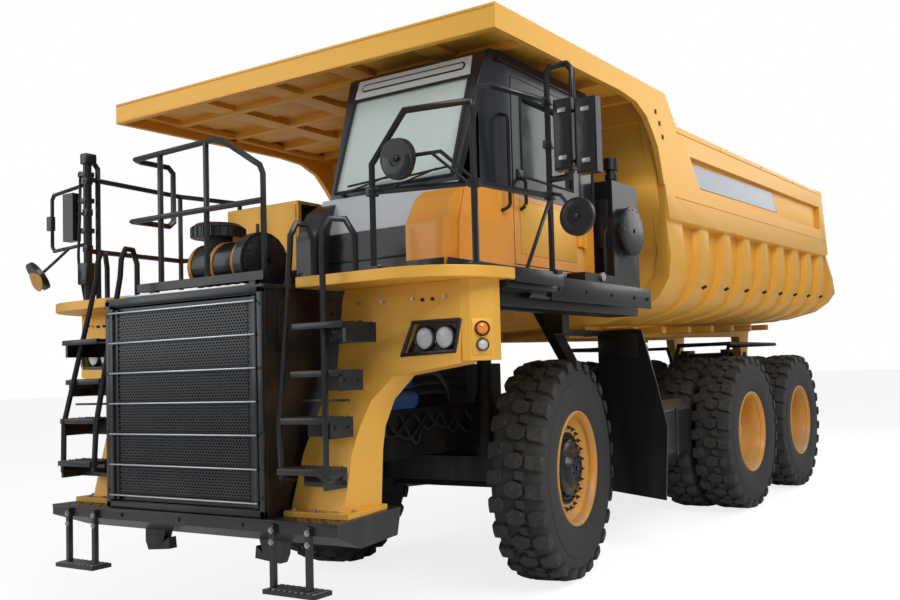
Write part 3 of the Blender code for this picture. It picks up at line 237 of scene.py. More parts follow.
@dataclass(frozen=True)
class Paint:
    """Sprayed paint with a slight mottle, settled dust and scuffs."""

    name: str
    colour: tuple[float, float, float]
    faded: tuple[float, float, float]
    roughness: float = 0.38
    coat: float = 0.25
    metallic: float = 0.0
    dust: float = 0.25
    peel: float = 0.03
    upper: tuple[float, float, float] | None = None
    split: float = 0.0

    def build(self) -> bpy.types.Material:
        """Makes the material."""
        tree = Tree(self.name)
        broad = tree.noise(0.9, 3)
        fine = tree.noise(14, 5)
        streaks = tree.noise(5, 4, (1, 1, 0.16))
        colour = tree.blend(
            self.colour, self.faded, broad.ramp(0.42, 0.68) * 0.7 + fine.ramp(0.45, 0.75) * 0.2,
        )
        if self.upper:
            colour = tree.blend(colour, self.upper, tree.axis("Z") > self.split)
        up = tree.facing("Z").ramp(0.3, 0.95)
        settled = up * fine.ramp(0.35, 0.65) * self.dust
        low = tree.axis("Z").ramp(2.0, 0.3) * streaks.ramp(0.4, 0.7) * self.dust
        worn = (settled + low).math("MINIMUM", 0.85)
        grain = tree.noise(160, 2)
        return tree.surface(
            {
                "Base Color": tree.blend(colour, DUST, worn),
                "Roughness": (worn * 0.4 + streaks * 0.08 + (self.roughness - 0.04)).math("MINIMUM", 0.95),
                "Metallic": self.metallic,
                "Coat Weight": self.coat,
                "Coat Roughness": 0.12,
                "Specular IOR Level": 0.4,
                "Normal": tree.bump(grain * 0.4 + streaks, self.peel, 0.01),
            }
        )


@dataclass(frozen=True)
class Rubber:
    """Tyre rubber: dull black, dusty and chalked in its grooves."""

    name: str
    colour: tuple[float, float, float] = (0.022, 0.022, 0.023)
    chalk: tuple[float, float, float] = (0.055, 0.051, 0.046)

    def build(self) -> bpy.types.Material:
        """Makes the material."""
        tree = Tree(self.name)
        fine = tree.noise(30, 5)
        broad = tree.noise(3, 4)
        chalked = fine.ramp(0.42, 0.72) * 0.55 + broad.ramp(0.4, 0.7) * 0.35
        height = tree.noise(220, 3) + tree.cells(70) * 0.5
        return tree.surface(
            {
                "Base Color": tree.blend(self.colour, self.chalk, chalked),
                "Roughness": chalked * 0.15 + 0.72,
                "Normal": tree.bump(height, 0.25, 0.004),
            }
        )


@dataclass(frozen=True)
class Metal:
    """Bare or plated metal with fine scratches."""

    name: str
    colour: tuple[float, float, float] = (0.5, 0.5, 0.52)
    roughness: float = 0.3
    grime: float = 0.2

    def build(self) -> bpy.types.Material:
        """Makes the material."""
        tree = Tree(self.name)
        spots = tree.noise(12, 5).ramp(0.45, 0.75) * self.grime
        scratches = tree.noise(60, 3, (1, 6, 1))
        return tree.surface(
            {
                "Base Color": tree.blend(self.colour, (0.12, 0.10, 0.08), spots),
                "Roughness": spots * 0.4 + scratches * 0.1 + self.roughness,
                "Metallic": 1.0,
                "Normal": tree.bump(scratches, 0.05, 0.002),
            }
        )


@dataclass(frozen=True)
class Clear:
    """Window or lamp glass, seen through in part."""

    name: str
    colour: tuple[float, float, float]
    alpha: float
    roughness: float = 0.04

    def build(self) -> bpy.types.Material:
        """Makes the material."""
        tree = Tree(self.name)
        film = tree.noise(4, 4).ramp(0.4, 0.8)
        return tree.surface(
            {
                "Base Color": tree.blend(self.colour, (0.5, 0.48, 0.43), film * 0.06),
                "Roughness": film * 0.05 + self.roughness,
                "Alpha": (film * 0.05 + self.alpha).math("MINIMUM", 1.0),
                "Specular IOR Level": 0.7,
            }
        )


@dataclass(frozen=True)
class Cloth:
    """Woven seat cover."""

    name: str
    colour: tuple[float, float, float] = (0.035, 0.036, 0.04)

    def build(self) -> bpy.types.Material:
        """Makes the material."""
        tree = Tree(self.name)
        warp = tree.axis("X").math("MULTIPLY", 1400.0).math("SINE")
        weft = tree.axis("Z").math("MULTIPLY", 1400.0).math("SINE")
        weave = warp * weft
        worn = tree.noise(9, 4).ramp(0.4, 0.7)
        return tree.surface(
            {
                "Base Color": tree.blend(self.colour, (0.09, 0.09, 0.095), worn * 0.5 + weave * 0.15),
                "Roughness": 0.9,
                "Sheen Weight": 0.3,
                "Normal": tree.bump(weave, 0.3, 0.001),
            }
        )


class Finish(Enum):
    """The finishes that the truck's surfaces take."""

    BODY = Paint("body_paint", (0.70, 0.275, 0.018), (0.74, 0.32, 0.035), 0.36, 0.22, 0.0, 0.14)
    CAB = Paint(
        "cab_paint", (0.70, 0.275, 0.018), (0.74, 0.31, 0.030), 0.30, 0.4, 0.0, 0.10, 0.02,
        (0.012, 0.014, 0.018), 3.02,
    )
    BLACK = Paint("satin_black_paint", (0.006, 0.006, 0.007), (0.010, 0.010, 0.011), 0.38, 0.2, 0.0, 0.05)
    FRAME = Paint("chassis_paint", (0.007, 0.007, 0.008), (0.012, 0.012, 0.012), 0.55, 0.0, 0.0, 0.12)
    RIM = Paint("wheel_paint", (0.66, 0.30, 0.035), (0.55, 0.27, 0.05), 0.45, 0.1, 0.0, 0.5)
    BRACKET = Paint("grey_paint", (0.20, 0.21, 0.22), (0.24, 0.24, 0.25), 0.45, 0.1, 0.3, 0.2)
    PALE = Paint("pale_panel", (0.62, 0.66, 0.64), (0.68, 0.70, 0.68), 0.22, 0.4, 0.0, 0.05)
    PLATE = Paint("blank_plate", (0.17, 0.20, 0.25), (0.20, 0.23, 0.28), 0.3, 0.3, 0.0, 0.05)
    RED = Paint("red_strip", (0.55, 0.02, 0.015), (0.5, 0.03, 0.02), 0.35, 0.3, 0.0, 0.05)
    # Partly the parts' own blue paint and partly painted shade: the colour is darkened for the shade under
    # the deck.
    BLUE = Paint("blue_paint_with_painted_shade", (0.008, 0.05, 0.20), (0.012, 0.06, 0.22), 0.5, 0.1, 0.0, 0.2)
    SILVER = Metal("silver_strip", (0.62, 0.63, 0.65), 0.28, 0.1)
    STEEL = Metal("bright_steel", (0.45, 0.45, 0.47), 0.32, 0.35)
    CHROME = Metal("chromed_rod", (0.78, 0.78, 0.80), 0.10, 0.05)
    DARK_STEEL = Metal("dark_steel", (0.10, 0.10, 0.105), 0.42, 0.4)
    MIRROR = Metal("mirror_face", (0.85, 0.86, 0.88), 0.03, 0.02)
    TYRE = Rubber("tyre_rubber")
    TREAD = Rubber("tread_rubber", (0.020, 0.020, 0.020), (0.070, 0.064, 0.056))
    HOSE = Rubber("hose_rubber", (0.012, 0.012, 0.013), (0.03, 0.03, 0.03))
    SEAL = Rubber("seal_rubber", (0.008, 0.008, 0.009), (0.014, 0.014, 0.014))
    PLASTIC = Rubber("cab_plastic", (0.02, 0.02, 0.022), (0.035, 0.035, 0.037))
    SHIELD = Clear("front_glass", (0.66, 0.74, 0.70), 0.78)
    WINDOW = Clear("side_glass", (0.03, 0.04, 0.04), 0.72)
    LENS = Clear("lamp_lens", (0.85, 0.87, 0.88), 0.35)
    AMBER = Clear("amber_lens", (0.9, 0.26, 0.02), 0.85, 0.12)
    CLOTH = Cloth("seat_cover")

    def material(self) -> bpy.types.Material:
        """The finish's material, made once."""
        return bpy.data.materials.get(self.value.name) or self.value.build()


# ---------------------------------------------------------------- shapes
class Shape:
    """A mesh under work, drawn from the front axle's line."""

    def __init__(self) -> None:
        """Starts with no faces."""
        self.bm = bmesh.new()

    def _turn(self, verts: Iterable, axis: Point, middle: Point) -> None:
        """Turns verts from +Z to the axis and moves them to the middle."""
        turn = Vector(axis).to_track_quat("Z", "Y").to_matrix().to_4x4()
        bmesh.ops.transform(self.bm, matrix=Matrix.Translation(middle) @ turn, verts=list(verts))

    def box(self, low: Point, high: Point, bevel: float = 0.0, turn: Matrix | None = None) -> "Shape":
        """A block between two corners, its edges rounded if bevel is given, turned about its middle."""
        made = bmesh.ops.create_cube(self.bm, size=1)["verts"]
        size = [abs(b - a) for a, b in zip(low, high)]
        middle = [(a + b) / 2 for a, b in zip(low, high)]
        bmesh.ops.scale(self.bm, vec=size, verts=made)
        if bevel:
            edges = list({e for v in made for e in v.link_edges})
            cut = bmesh.ops.bevel(
                self.bm, geom=edges, offset=bevel, segments=2, profile=0.5, affect="EDGES", material=-1
            )
            made = list({v for f in cut["faces"] for v in f.verts} | {v for v in made if v.is_valid})
        if turn is not None:
            bmesh.ops.transform(self.bm, matrix=turn.to_4x4(), verts=made)
        bmesh.ops.translate(self.bm, vec=middle, verts=made)
        return self

    def rod(
        self, start: Point, end: Point, radius: float, sides: int = 16, tip: float | None = None,
    ) -> "Shape":
        """A round bar between two points, with another radius at its tip if given."""
        along = Vector(end) - Vector(start)
        made = bmesh.ops.create_cone(
            self.bm,
            cap_ends=True,
            segments=sides,
            radius1=radius,
            radius2=radius if tip is None else tip,
            depth=along.length,
        )["verts"]
        self._turn(made, along, (Vector(start) + Vector(end)) / 2)
        return self

    def ball(self, middle: Point, radius: float, squash: Point = (1, 1, 1)) -> "Shape":
        """A sphere, flattened by squash."""
        made = bmesh.ops.create_uvsphere(self.bm, u_segments=20, v_segments=12, radius=radius)["verts"]
        bmesh.ops.scale(self.bm, vec=squash, verts=made)
        bmesh.ops.translate(self.bm, vec=middle, verts=made)
        return self

    def lathe(
        self, outline: Sequence[tuple[float, float]], middle: Point, axis: Point, steps: int = 48,
    ) -> "Shape":
        """Turns a closed outline of (out along the axis, radius) once about the axis."""
        verts = [self.bm.verts.new((radius, 0, out)) for out, radius in outline]
        edges = [self.bm.edges.new((a, b)) for a, b in zip(verts, verts[1:] + verts[:1])]
        made = bmesh.ops.spin(
            self.bm,
            geom=verts + edges,
            axis=(0, 0, 1),
            cent=(0, 0, 0),
            angle=2 * math.pi,
            steps=steps,
            use_merge=True,
        )
        found = set(verts) | {g for g in made["geom_last"] if isinstance(g, bmesh.types.BMVert)}
        stack = list(found)
        while stack:
            for edge in stack.pop().link_edges:
                for vert in edge.verts:
                    if vert not in found:
                        found.add(vert)
                        stack.append(vert)
        self._turn([v for v in found if v.is_valid], axis, middle)
        return self

    def prism(self, outline: Sequence[tuple[float, float]], axis: str, low: float, high: float) -> "Shape":
        """An outline in the plane across an axis, drawn out from low to high along it."""
        place = {
            "X": lambda a, b: (low, a, b),
            "Y": lambda a, b: (a, low, b),
            "Z": lambda a, b: (a, b, low),
        }[axis]
        face = self.bm.faces.new([self.bm.verts.new(place(a, b)) for a, b in outline])
        made = bmesh.ops.extrude_face_region(self.bm, geom=[face], use_keep_orig=True)
        moved = [v for v in made["geom"] if isinstance(v, bmesh.types.BMVert)]
        step = Vector([high - low if letter == axis else 0 for letter in "XYZ"])
        bmesh.ops.translate(self.bm, vec=step, verts=moved)
        return self

    def pipe(self, points: Sequence[Point], radius: float, sides: int = 10, bend: float = 0.08) -> "Shape":
        """A round bar that follows points, with its corners rounded to a bend radius."""
        line = rounded(points, bend)
        first = bmesh.ops.create_circle(self.bm, cap_ends=True, segments=sides, radius=radius)["verts"]
        along = line[1] - line[0]
        turn = along.to_track_quat("Z", "Y")
        bmesh.ops.transform(
            self.bm, matrix=Matrix.Translation(line[0]) @ turn.to_matrix().to_4x4(), verts=first,
        )
        face = next(f for f in first[0].link_faces if len(f.verts) == sides)
        before = along.normalized()
        for index in range(1, len(line)):
            made = bmesh.ops.extrude_face_region(self.bm, geom=[face], use_keep_orig=index == 1)
            ring = [g for g in made["geom"] if isinstance(g, bmesh.types.BMVert)]
            face = next(g for g in made["geom"] if isinstance(g, bmesh.types.BMFace))
            bmesh.ops.translate(self.bm, vec=line[index] - line[index - 1], verts=ring)
            after = (
                line[index + 1] - line[index - 1] if index < len(line) - 1 else along_last(line)
            ).normalized()
            swing = before.rotation_difference(after).to_matrix()
            bmesh.ops.rotate(self.bm, cent=line[index], matrix=swing, verts=ring)
            before = after
        return self

    def loop(self, corners: Sequence[Point], radius: float, knob: float) -> "Shape":
        """Round bars from corner to corner and back to the first, with a ball on each corner."""
        for start, end in zip(corners, [*corners[1:], corners[0]]):
            self.rod(start, end, radius, 8)
            self.ball(start, knob)
        return self

    def bolts(
        self, places: Iterable[Point], axis: Point, radius: float = 0.014, height: float = 0.012,
    ) -> "Shape":
        """A washer and a hexagon head at each place, standing out along the axis."""
        out = Vector(axis).normalized()
        for place in places:
            foot = Vector(place)
            self.rod(foot - out * 0.004, foot + out * height * 0.3, radius * 1.45, 12)
            self.rod(foot, foot + out * height, radius, 6, radius * 0.92)
        return self

    def repeat(self, copies: int, centre: Point, axis: Point) -> "Shape":
        """Copies everything drawn so far round an axis."""
        geometry = self.bm.verts[:] + self.bm.edges[:] + self.bm.faces[:]
        angle = 2 * math.pi * (copies - 1) / copies
        bmesh.ops.spin(
            self.bm, geom=geometry, axis=axis, cent=centre, angle=angle, steps=copies - 1, use_duplicate=True
        )
        return self

    def mesh(self, name: str) -> bpy.types.Object:
        """Ends the shape as an object at the origin."""
        bmesh.ops.translate(self.bm, vec=(0, FRONT_AXLE_Y, 0), verts=self.bm.verts)
        bmesh.ops.recalc_face_normals(self.bm, faces=self.bm.faces)
        data = bpy.data.meshes.new(name)
        self.bm.to_mesh(data)
        self.bm.free()
        made = bpy.data.objects.new(name, data)
        bpy.context.scene.collection.objects.link(made)
        return made


def along_last(line: Sequence[Vector]) -> Vector:
    """The last step of a line."""
    return line[-1] - line[-2]


def rounded(points: Sequence[Point], bend: float) -> list[Vector]:
    """Rounds a line's corners.

    Args:
        points: the line's corners.
        bend: how far from each corner the curve starts.

    Returns:
        The line's points with curved corners.
    """
    corners = [Vector(p) for p in points]
    line = [corners[0]]
    for before, here, after in zip(corners, corners[1:], corners[2:]):
        reach = min(bend, (before - here).length * 0.45, (after - here).length * 0.45)
        start = here + (before - here).normalized() * reach
        end = here + (after - here).normalized() * reach
        for step in range(6):
            share = step / 5
            line.append(start.lerp(here, share).lerp(here.lerp(end, share), share))
    return [*line, corners[-1]]


def dress(made: bpy.types.Object, finish: Finish, angle: float = 35.0) -> bpy.types.Object:
    """Gives an object its finish and shades it smooth up to an angle between faces, in degrees."""
    made.data.materials.clear()
    made.data.materials.append(finish.material())
    made.data.shade_smooth()
    made.data.set_sharp_from_angle(angle=math.radians(angle))
    return made


def add(
    shape: Shape, name: str, finish: Finish, body: str = "truck", angle: float = 35.0,
) -> bpy.types.Object:
    """Turns a shape into a finished piece that rides on a body.

    Args:
        shape: what was drawn.
        name: the piece's name.
        finish: its finish.
        body: the frame body that carries it.
        angle: faces that meet at less than this are shaded smooth, in degrees.

    Returns:
        The new object.
    """
    made = dress(shape.mesh(name), finish, angle)
    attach(made, body)
    LOG.info("%s: %d faces", name, len(made.data.polygons))
    return made


def round_edges(made: bpy.types.Object, width: float, segments: int = 2) -> None:
    """Adds a bevel to an object's sharp edges."""
    bevel = made.modifiers.new("rounded_edges", "BEVEL")
    bevel.width = width
    bevel.segments = segments
    bevel.limit_method = "ANGLE"
    bevel.angle_limit = math.radians(32)
    bevel.harden_normals = True


class Truck:
    """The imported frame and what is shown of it."""

    def __init__(self) -> None:
        """Loads the frame."""
        self.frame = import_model()
        self.nodes = self.frame["nodes"]
        self.carrier = {
            node: body
            for body, members in self.frame["record"]["behaviour"]["bodies"].items()
            for node in members
        }

    def keep(self, node: str, finish: Finish, angle: float = 35.0) -> None:
        """Shows a frame node as it is, in a finish."""
        dress(self.nodes[node], finish, angle)

    def refine(
        self, node: str, finish: Finish, edge: float = 0.004, angle: float = 32.0,
    ) -> bpy.types.Object:
        """Shows a merged copy of a frame node with rounded edges.

        Args:
            node: the frame node.
            finish: its finish.
            edge: the width of the rounding.
            angle: faces that meet at less than this are shaded smooth, in degrees.

        Returns:
            The copy.
        """
        bm = bmesh.new()
        bm.from_mesh(self.nodes[node].data)
        bmesh.ops.remove_doubles(bm, verts=bm.verts, dist=0.00005)
        bmesh.ops.dissolve_limit(
            bm, angle_limit=math.radians(0.4), verts=bm.verts, edges=bm.edges, use_dissolve_boundaries=False
        )
        data = bpy.data.meshes.new(node + "_shown")
        bm.to_mesh(data)
        bm.free()
        made = bpy.data.objects.new(node + "_shown", data)
        bpy.context.scene.collection.objects.link(made)
        dress(made, finish, angle)
        if edge:
            round_edges(made, edge)
        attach(made, self.carrier[node])
        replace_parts(made, node)
        LOG.info("%s: %d faces", made.name, len(data.polygons))
        return made


# ---------------------------------------------------------------- assemblies
@dataclass
class Dressing:
    """Finishes of the frame nodes that are shown with rounded edges or as they are."""

    truck: Truck
    refined: dict[str, tuple[Finish, float]] = field(
        default_factory=lambda: {
            "dump_body": (Finish.BODY, 0.006),
            "cab_shell": (Finish.CAB, 0.010),
            "cab_door": (Finish.CAB, 0.006),
            "fender_left": (Finish.BODY, 0.008),
            "fender_right": (Finish.BODY, 0.008),
            "deck": (Finish.BODY, 0.005),
            "control_cabinet": (Finish.BODY, 0.010),
            "front_bumper": (Finish.BLACK, 0.006),
            "radiator_housing": (Finish.BLACK, 0.008),
            "chassis_frame": (Finish.FRAME, 0.006),
            "engine_block": (Finish.FRAME, 0.010),
            "engine_cover": (Finish.BLACK, 0.010),
            "fuel_tank": (Finish.BLACK, 0.012),
            "hydraulic_tank": (Finish.BLACK, 0.012),
            "side_tank": (Finish.BLACK, 0.006),
            "mudflap_left": (Finish.BLACK, 0.004),
            "mudflap_right": (Finish.BLACK, 0.004),
            "ladder_left": (Finish.BLACK, 0.0),
            "ladder_right": (Finish.BLACK, 0.0),
            "left_rail": (Finish.BLACK, 0.0),
            "right_rail": (Finish.BLACK, 0.0),
            "front_rail": (Finish.BLACK, 0.0),
            "front_axle": (Finish.FRAME, 0.006),
            "dashboard": (Finish.PLASTIC, 0.012),
            "air_cleaner": (Finish.BLACK, 0.004),
        }
    )
    plain: dict[str, Finish] = field(
        default_factory=lambda: {
            "middle_axle": Finish.FRAME,
            "rear_axle": Finish.FRAME,
            "steering_knuckle_left": Finish.FRAME,
            "steering_knuckle_right": Finish.FRAME,
            "tie_rod": Finish.FRAME,
            "hoist_barrel_left": Finish.BLACK,
            "hoist_barrel_right": Finish.BLACK,
            "hoist_rod_left": Finish.CHROME,
            "hoist_rod_right": Finish.CHROME,
            "windshield": Finish.SHIELD,
            "door_window": Finish.WINDOW,
            "side_window": Finish.WINDOW,
            "rear_window": Finish.WINDOW,
            "steering_wheel": Finish.PLASTIC,
            "grille": Finish.BLACK,
        }
    )

    def build(self) -> None:
        """Dresses each node."""
        for node, (finish, edge) in self.refined.items():
            self.truck.refine(node, finish, edge)
        for node, finish in self.plain.items():
            self.truck.keep(node, finish)


@dataclass
class Wheels:
    """Tyres with their tread, rims, hubs and wheel nuts."""

    truck: Truck
    tread_radius: float = 0.93
    groove_radius: float = 0.893
    half_width: float = 0.225
    pitches: int = 26
    rim_radius: float = 0.485
    steer_rest: float = math.radians(10)

    def carcass(self) -> list[tuple[float, float]]:
        """The tyre's section as (out along the axle, radius)."""
        low, edge = self.rim_radius - 0.02, self.half_width
        right = [
            (edge - 0.045, low),
            (edge - 0.028, self.rim_radius + 0.005),
            (edge - 0.012, 0.53),
            (edge + 0.003, 0.60),
            (edge + 0.008, 0.665),
            (edge + 0.005, 0.72),
            (edge + 0.008, 0.724),
            (edge + 0.006, 0.745),
            (edge + 0.001, 0.749),
            (edge - 0.004, 0.80),
            (edge - 0.018, 0.862),
            (edge - 0.045, 0.887),
            (edge - 0.12, self.groove_radius),
        ]
        return right + [(-out, radius) for out, radius in reversed(right)]

    def block(self, shape: Shape, outline: Sequence[tuple[float, float]]) -> None:
        """Draws one tread block.

        Args:
            shape: what it is added to, the wheel's axle along +Z.
            outline: its corners as (out along the axle, share of a pitch round the tyre).
        """
        bm = shape.bm
        pitch = 2 * math.pi / self.pitches
        middle_out = sum(out for out, _ in outline) / len(outline)
        middle_turn = sum(turn for _, turn in outline) / len(outline)
        rings = []
        for depth, shrink in ((0.0, 1.0), (0.85, 0.93), (1.0, 0.86)):
            ring = []
            for out, turn in outline:
                here = middle_out + (out - middle_out) * shrink
                angle = (middle_turn + (turn - middle_turn) * shrink) * pitch
                drop = max(0.0, abs(here) - 0.175) ** 2 * 9.0
                top = self.tread_radius - drop
                base = self.groove_radius - 0.012 - drop * 1.6
                radius = base + (top - base) * depth
                ring.append(bm.verts.new((radius * math.cos(angle), radius * math.sin(angle), here)))
            rings.append(ring)
        for ring in rings:
            for a, b in zip(ring, ring[1:] + ring[:1]):
                bm.edges.new((a, b))
        for low, high in zip(rings, rings[1:]):
            edges = [bm.edges.get((a, b)) for r in (low, high) for a, b in zip(r, r[1:] + r[:1])]
            bmesh.ops.bridge_loops(bm, edges=edges)
        bm.faces.new(rings[-1])
        bm.faces.new(list(reversed(rings[0])))

    def tread(self, middle: Point, axis: Point) -> Shape:
        """All tread blocks of one tyre."""
        shape = Shape()
        lug = [
            (0.092, 0.10), (0.128, 0.04), (0.226, 0.10), (0.232, 0.30), (0.232, 0.52), (0.226, 0.66),
            (0.128, 0.60), (0.092, 0.52),
        ]
        heart = [
            (-0.085, 0.10), (-0.030, -0.06), (0.034, -0.02), (0.078, 0.14), (0.078, 0.44), (0.030, 0.58),
            (-0.034, 0.54), (-0.085, 0.38),
        ]
        self.block(shape, lug)
        self.block(shape, [(-out, turn + 0.5) for out, turn in lug])
        self.block(
            shape,
            [
                (out, turn + 0.78)
                for out, turn in ((0.014, -0.17), (0.082, -0.13), (0.084, 0.17), (0.018, 0.13))
            ],
        )
        self.block(shape, heart)
        shape.repeat(self.pitches, (0, 0, 0), (0, 0, 1))
        shape._turn(shape.bm.verts, axis, middle)
        return shape

    def tyre(self, node: str, middle: Point, axis: Point, body: str) -> None:
        """One tyre in place of its frame node."""
        carcass = Shape().lathe(self.carcass(), middle, axis, 72)
        made = add(carcass, node + "_carcass", Finish.TYRE, body, 40)
        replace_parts(made, node)
        add(self.tread(middle, axis), node + "_tread", Finish.TREAD, body, 28)

    def ring_places(
        self, middle: Point, axis: Point, out: float, radius: float, count: int,
    ) -> list[Vector]:
        """Places evenly round the axle at a radius."""
        turn = Vector(axis).to_track_quat("Z", "Y").to_matrix()
        angles = [2 * math.pi * (index + 0.5) / count for index in range(count)]
        return [
            Vector(middle) + turn @ Vector((radius * math.cos(a), radius * math.sin(a), out))
            for a in angles
        ]

    def nuts(self, middle: Point, axis: Point, out: float, radius: float, count: int, size: float) -> Shape:
        """A ring of wheel nuts on their studs."""
        shape = Shape()
        for place in self.ring_places(middle, axis, out, radius, count):
            way = Vector(axis)
            shape.rod(place - way * 0.004, place + way * 0.006, size * 1.5, 14)
            shape.rod(place, place + way * size * 1.5, size, 6)
            shape.rod(place, place + way * size * 2.6, size * 0.55, 10)
        return shape

    def front(self, side: int) -> None:
        """One steered wheel."""
        word = "left" if side > 0 else "right"
        lean = self.steer_rest if side > 0 else self.steer_rest + math.pi
        axis = Vector((math.cos(lean), math.sin(lean), 0))
        middle = Vector((side * 0.93, 0, AXLE_HEIGHT)) + axis * 0.26
        body = f"front_{word}_wheel"
        self.tyre(f"front_{word}_tyre", middle, axis, body)
        flange = self.half_width - 0.030
        outline = [
            (flange, 0.487), (flange + 0.010, 0.484), (flange + 0.014, 0.474), (flange + 0.004, 0.462),
            (flange - 0.010, 0.452), (flange - 0.022, 0.447), (flange - 0.060, 0.440), (0.130, 0.425),
            (0.105, 0.402), (0.098, 0.372), (0.098, 0.300), (0.060, 0.300), (0.060, 0.385), (-0.05, 0.402),
            (-flange, 0.420), (
                -flange - 0.014, 0.475,
            ), (-flange, 0.487), (-flange + 0.03, 0.437), (flange - 0.03, 0.437),
        ]
        rim = add(Shape().lathe(outline, middle, axis, 72), f"front_{word}_rim_band", Finish.RIM, body, 40)
        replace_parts(rim, f"front_{word}_rim")
        lock = Shape().lathe(
            [
                (flange - 0.03, 0.452), (flange - 0.014, 0.456), (flange - 0.010, 0.446),
                (flange - 0.03, 0.438),
            ],
            middle, axis, 72,
        )
        add(lock, f"front_{word}_lock_ring", Finish.RIM, body)
        disc = Shape().lathe(
            [
                (0.06, 0.30), (0.104, 0.305), (0.106, 0.255), (0.085, 0.235), (0.085, 0.12), (0.05, 0.12),
                (0.05, 0.30),
            ],
            middle, axis, 60,
        )
        add(disc, f"front_{word}_wheel_flange", Finish.BLACK, body)
        add(
            self.nuts(middle, axis, 0.098, 0.345, 24, 0.013), f"front_{word}_rim_nuts", Finish.DARK_STEEL,
            body,
        )
        hub = Shape().lathe(
            [
                (0.085, 0.235), (0.12, 0.225), (0.135, 0.205), (0.14, 0.165), (0.165, 0.15), (0.185, 0.135),
                (0.19, 0.06), (0.185, 0.02), (0.05, 0.02), (0.05, 0.235),
            ],
            middle, axis, 48,
        )
        for place in self.ring_places(middle, axis, 0.09, 0.235, 12):
            inner = Vector(middle) + axis * 0.13 + (place - Vector(middle) - axis * 0.09) * 0.5
            hub.rod(place, inner, 0.018, 8, 0.026)
        hub.bolts(self.ring_places(middle, axis, 0.188, 0.095, 8), axis, 0.010, 0.009)
        add(hub, f"front_{word}_hub", Finish.BLACK, body)
        add(
            self.nuts(middle, axis, 0.106, 0.278, 24, 0.010), f"front_{word}_hub_nuts", Finish.DARK_STEEL,
            body,
        )
        valve = Vector(middle) + Matrix.Rotation(0.4, 3, axis) @ Vector((0, 0, 0.41)) + axis * 0.10
        add(
            Shape().pipe(
                [valve, valve + axis * 0.05, valve + axis * 0.07 + Vector((0, 0, -0.05))], 0.006, 8, 0.02,
            ),
            f"front_{word}_valve", Finish.STEEL, body,
        )

    def dual(self, axle: str, line: float, side: int) -> None:
        """One pair of driven wheels."""
        word = "left" if side > 0 else "right"
        axis = Vector((side, 0, 0))
        outer, inner = Vector((side * 1.365, line, AXLE_HEIGHT)), Vector((side * 0.845, line, AXLE_HEIGHT))
        body = f"{axle}_{word}_wheels"
        self.tyre(f"{axle}_{word}_outer_tyre", outer, axis, body)
        self.tyre(f"{axle}_{word}_inner_tyre", inner, axis, body)
        flange = self.half_width - 0.030
        outline = [
            (flange, 0.487), (flange + 0.010, 0.484), (flange + 0.014, 0.474), (flange + 0.004, 0.462),
            (flange - 0.012, 0.452), (flange - 0.030, 0.448), (flange - 0.05, 0.432), (0.02, 0.420),
            (-0.09, 0.405), (
                -0.125, 0.385,
            ), (-0.135, 0.350), (-0.135, 0.235), (-0.30, 0.235), (-0.33, 0.40),
            (-0.52 - flange, 0.42), (
                -0.52 - flange - 0.014, 0.475,
            ), (-0.52 - flange, 0.487), (-0.52 - flange + 0.03, 0.437),
            (flange - 0.03, 0.437),
        ]
        rim = add(Shape().lathe(outline, outer, axis, 72), f"{axle}_{word}_rim_band", Finish.RIM, body, 40)
        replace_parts(rim, f"{axle}_{word}_rim")
        lock = Shape().lathe(
            [
                (flange - 0.035, 0.454), (flange - 0.016, 0.458), (flange - 0.012, 0.446),
                (flange - 0.035, 0.434),
            ],
            outer, axis, 72,
        )
        add(lock, f"{axle}_{word}_lock_ring", Finish.RIM, body)
        hub = Shape().lathe(
            [
                (-0.135, 0.235), (-0.10, 0.228), (-0.05, 0.215), (-0.015, 0.20), (0.0, 0.17), (0.012, 0.11),
                (0.02, 0.09), (0.04, 0.08), (0.04, 0.02), (-0.14, 0.02), (-0.28, 0.125), (-0.28, 0.235),
            ],
            outer, axis, 48,
        )
        hub.bolts(self.ring_places(outer, axis, 0.0, 0.145, 10), axis, 0.010, 0.010)
        add(hub, f"{axle}_{word}_hub", Finish.RIM, body)
        add(
            self.nuts(outer, axis, -0.135, 0.305, 20, 0.014), f"{axle}_{word}_nuts", Finish.DARK_STEEL,
            body,
        )

    def build(self) -> None:
        """Builds all wheels."""
        for side in (1, -1):
            self.front(side)
            self.dual("middle", 4.05, side)
            self.dual("rear", 6.12, side)


def both(build: Callable[[int], None]) -> None:
    """Runs a builder for the left side (1) and the right side (-1)."""
    for side in (1, -1):
        build(side)


def span(side: int, near: float, far: float) -> tuple[float, float]:
    """A range of x on one side, in rising order."""
    return tuple(sorted((side * near, side * far)))


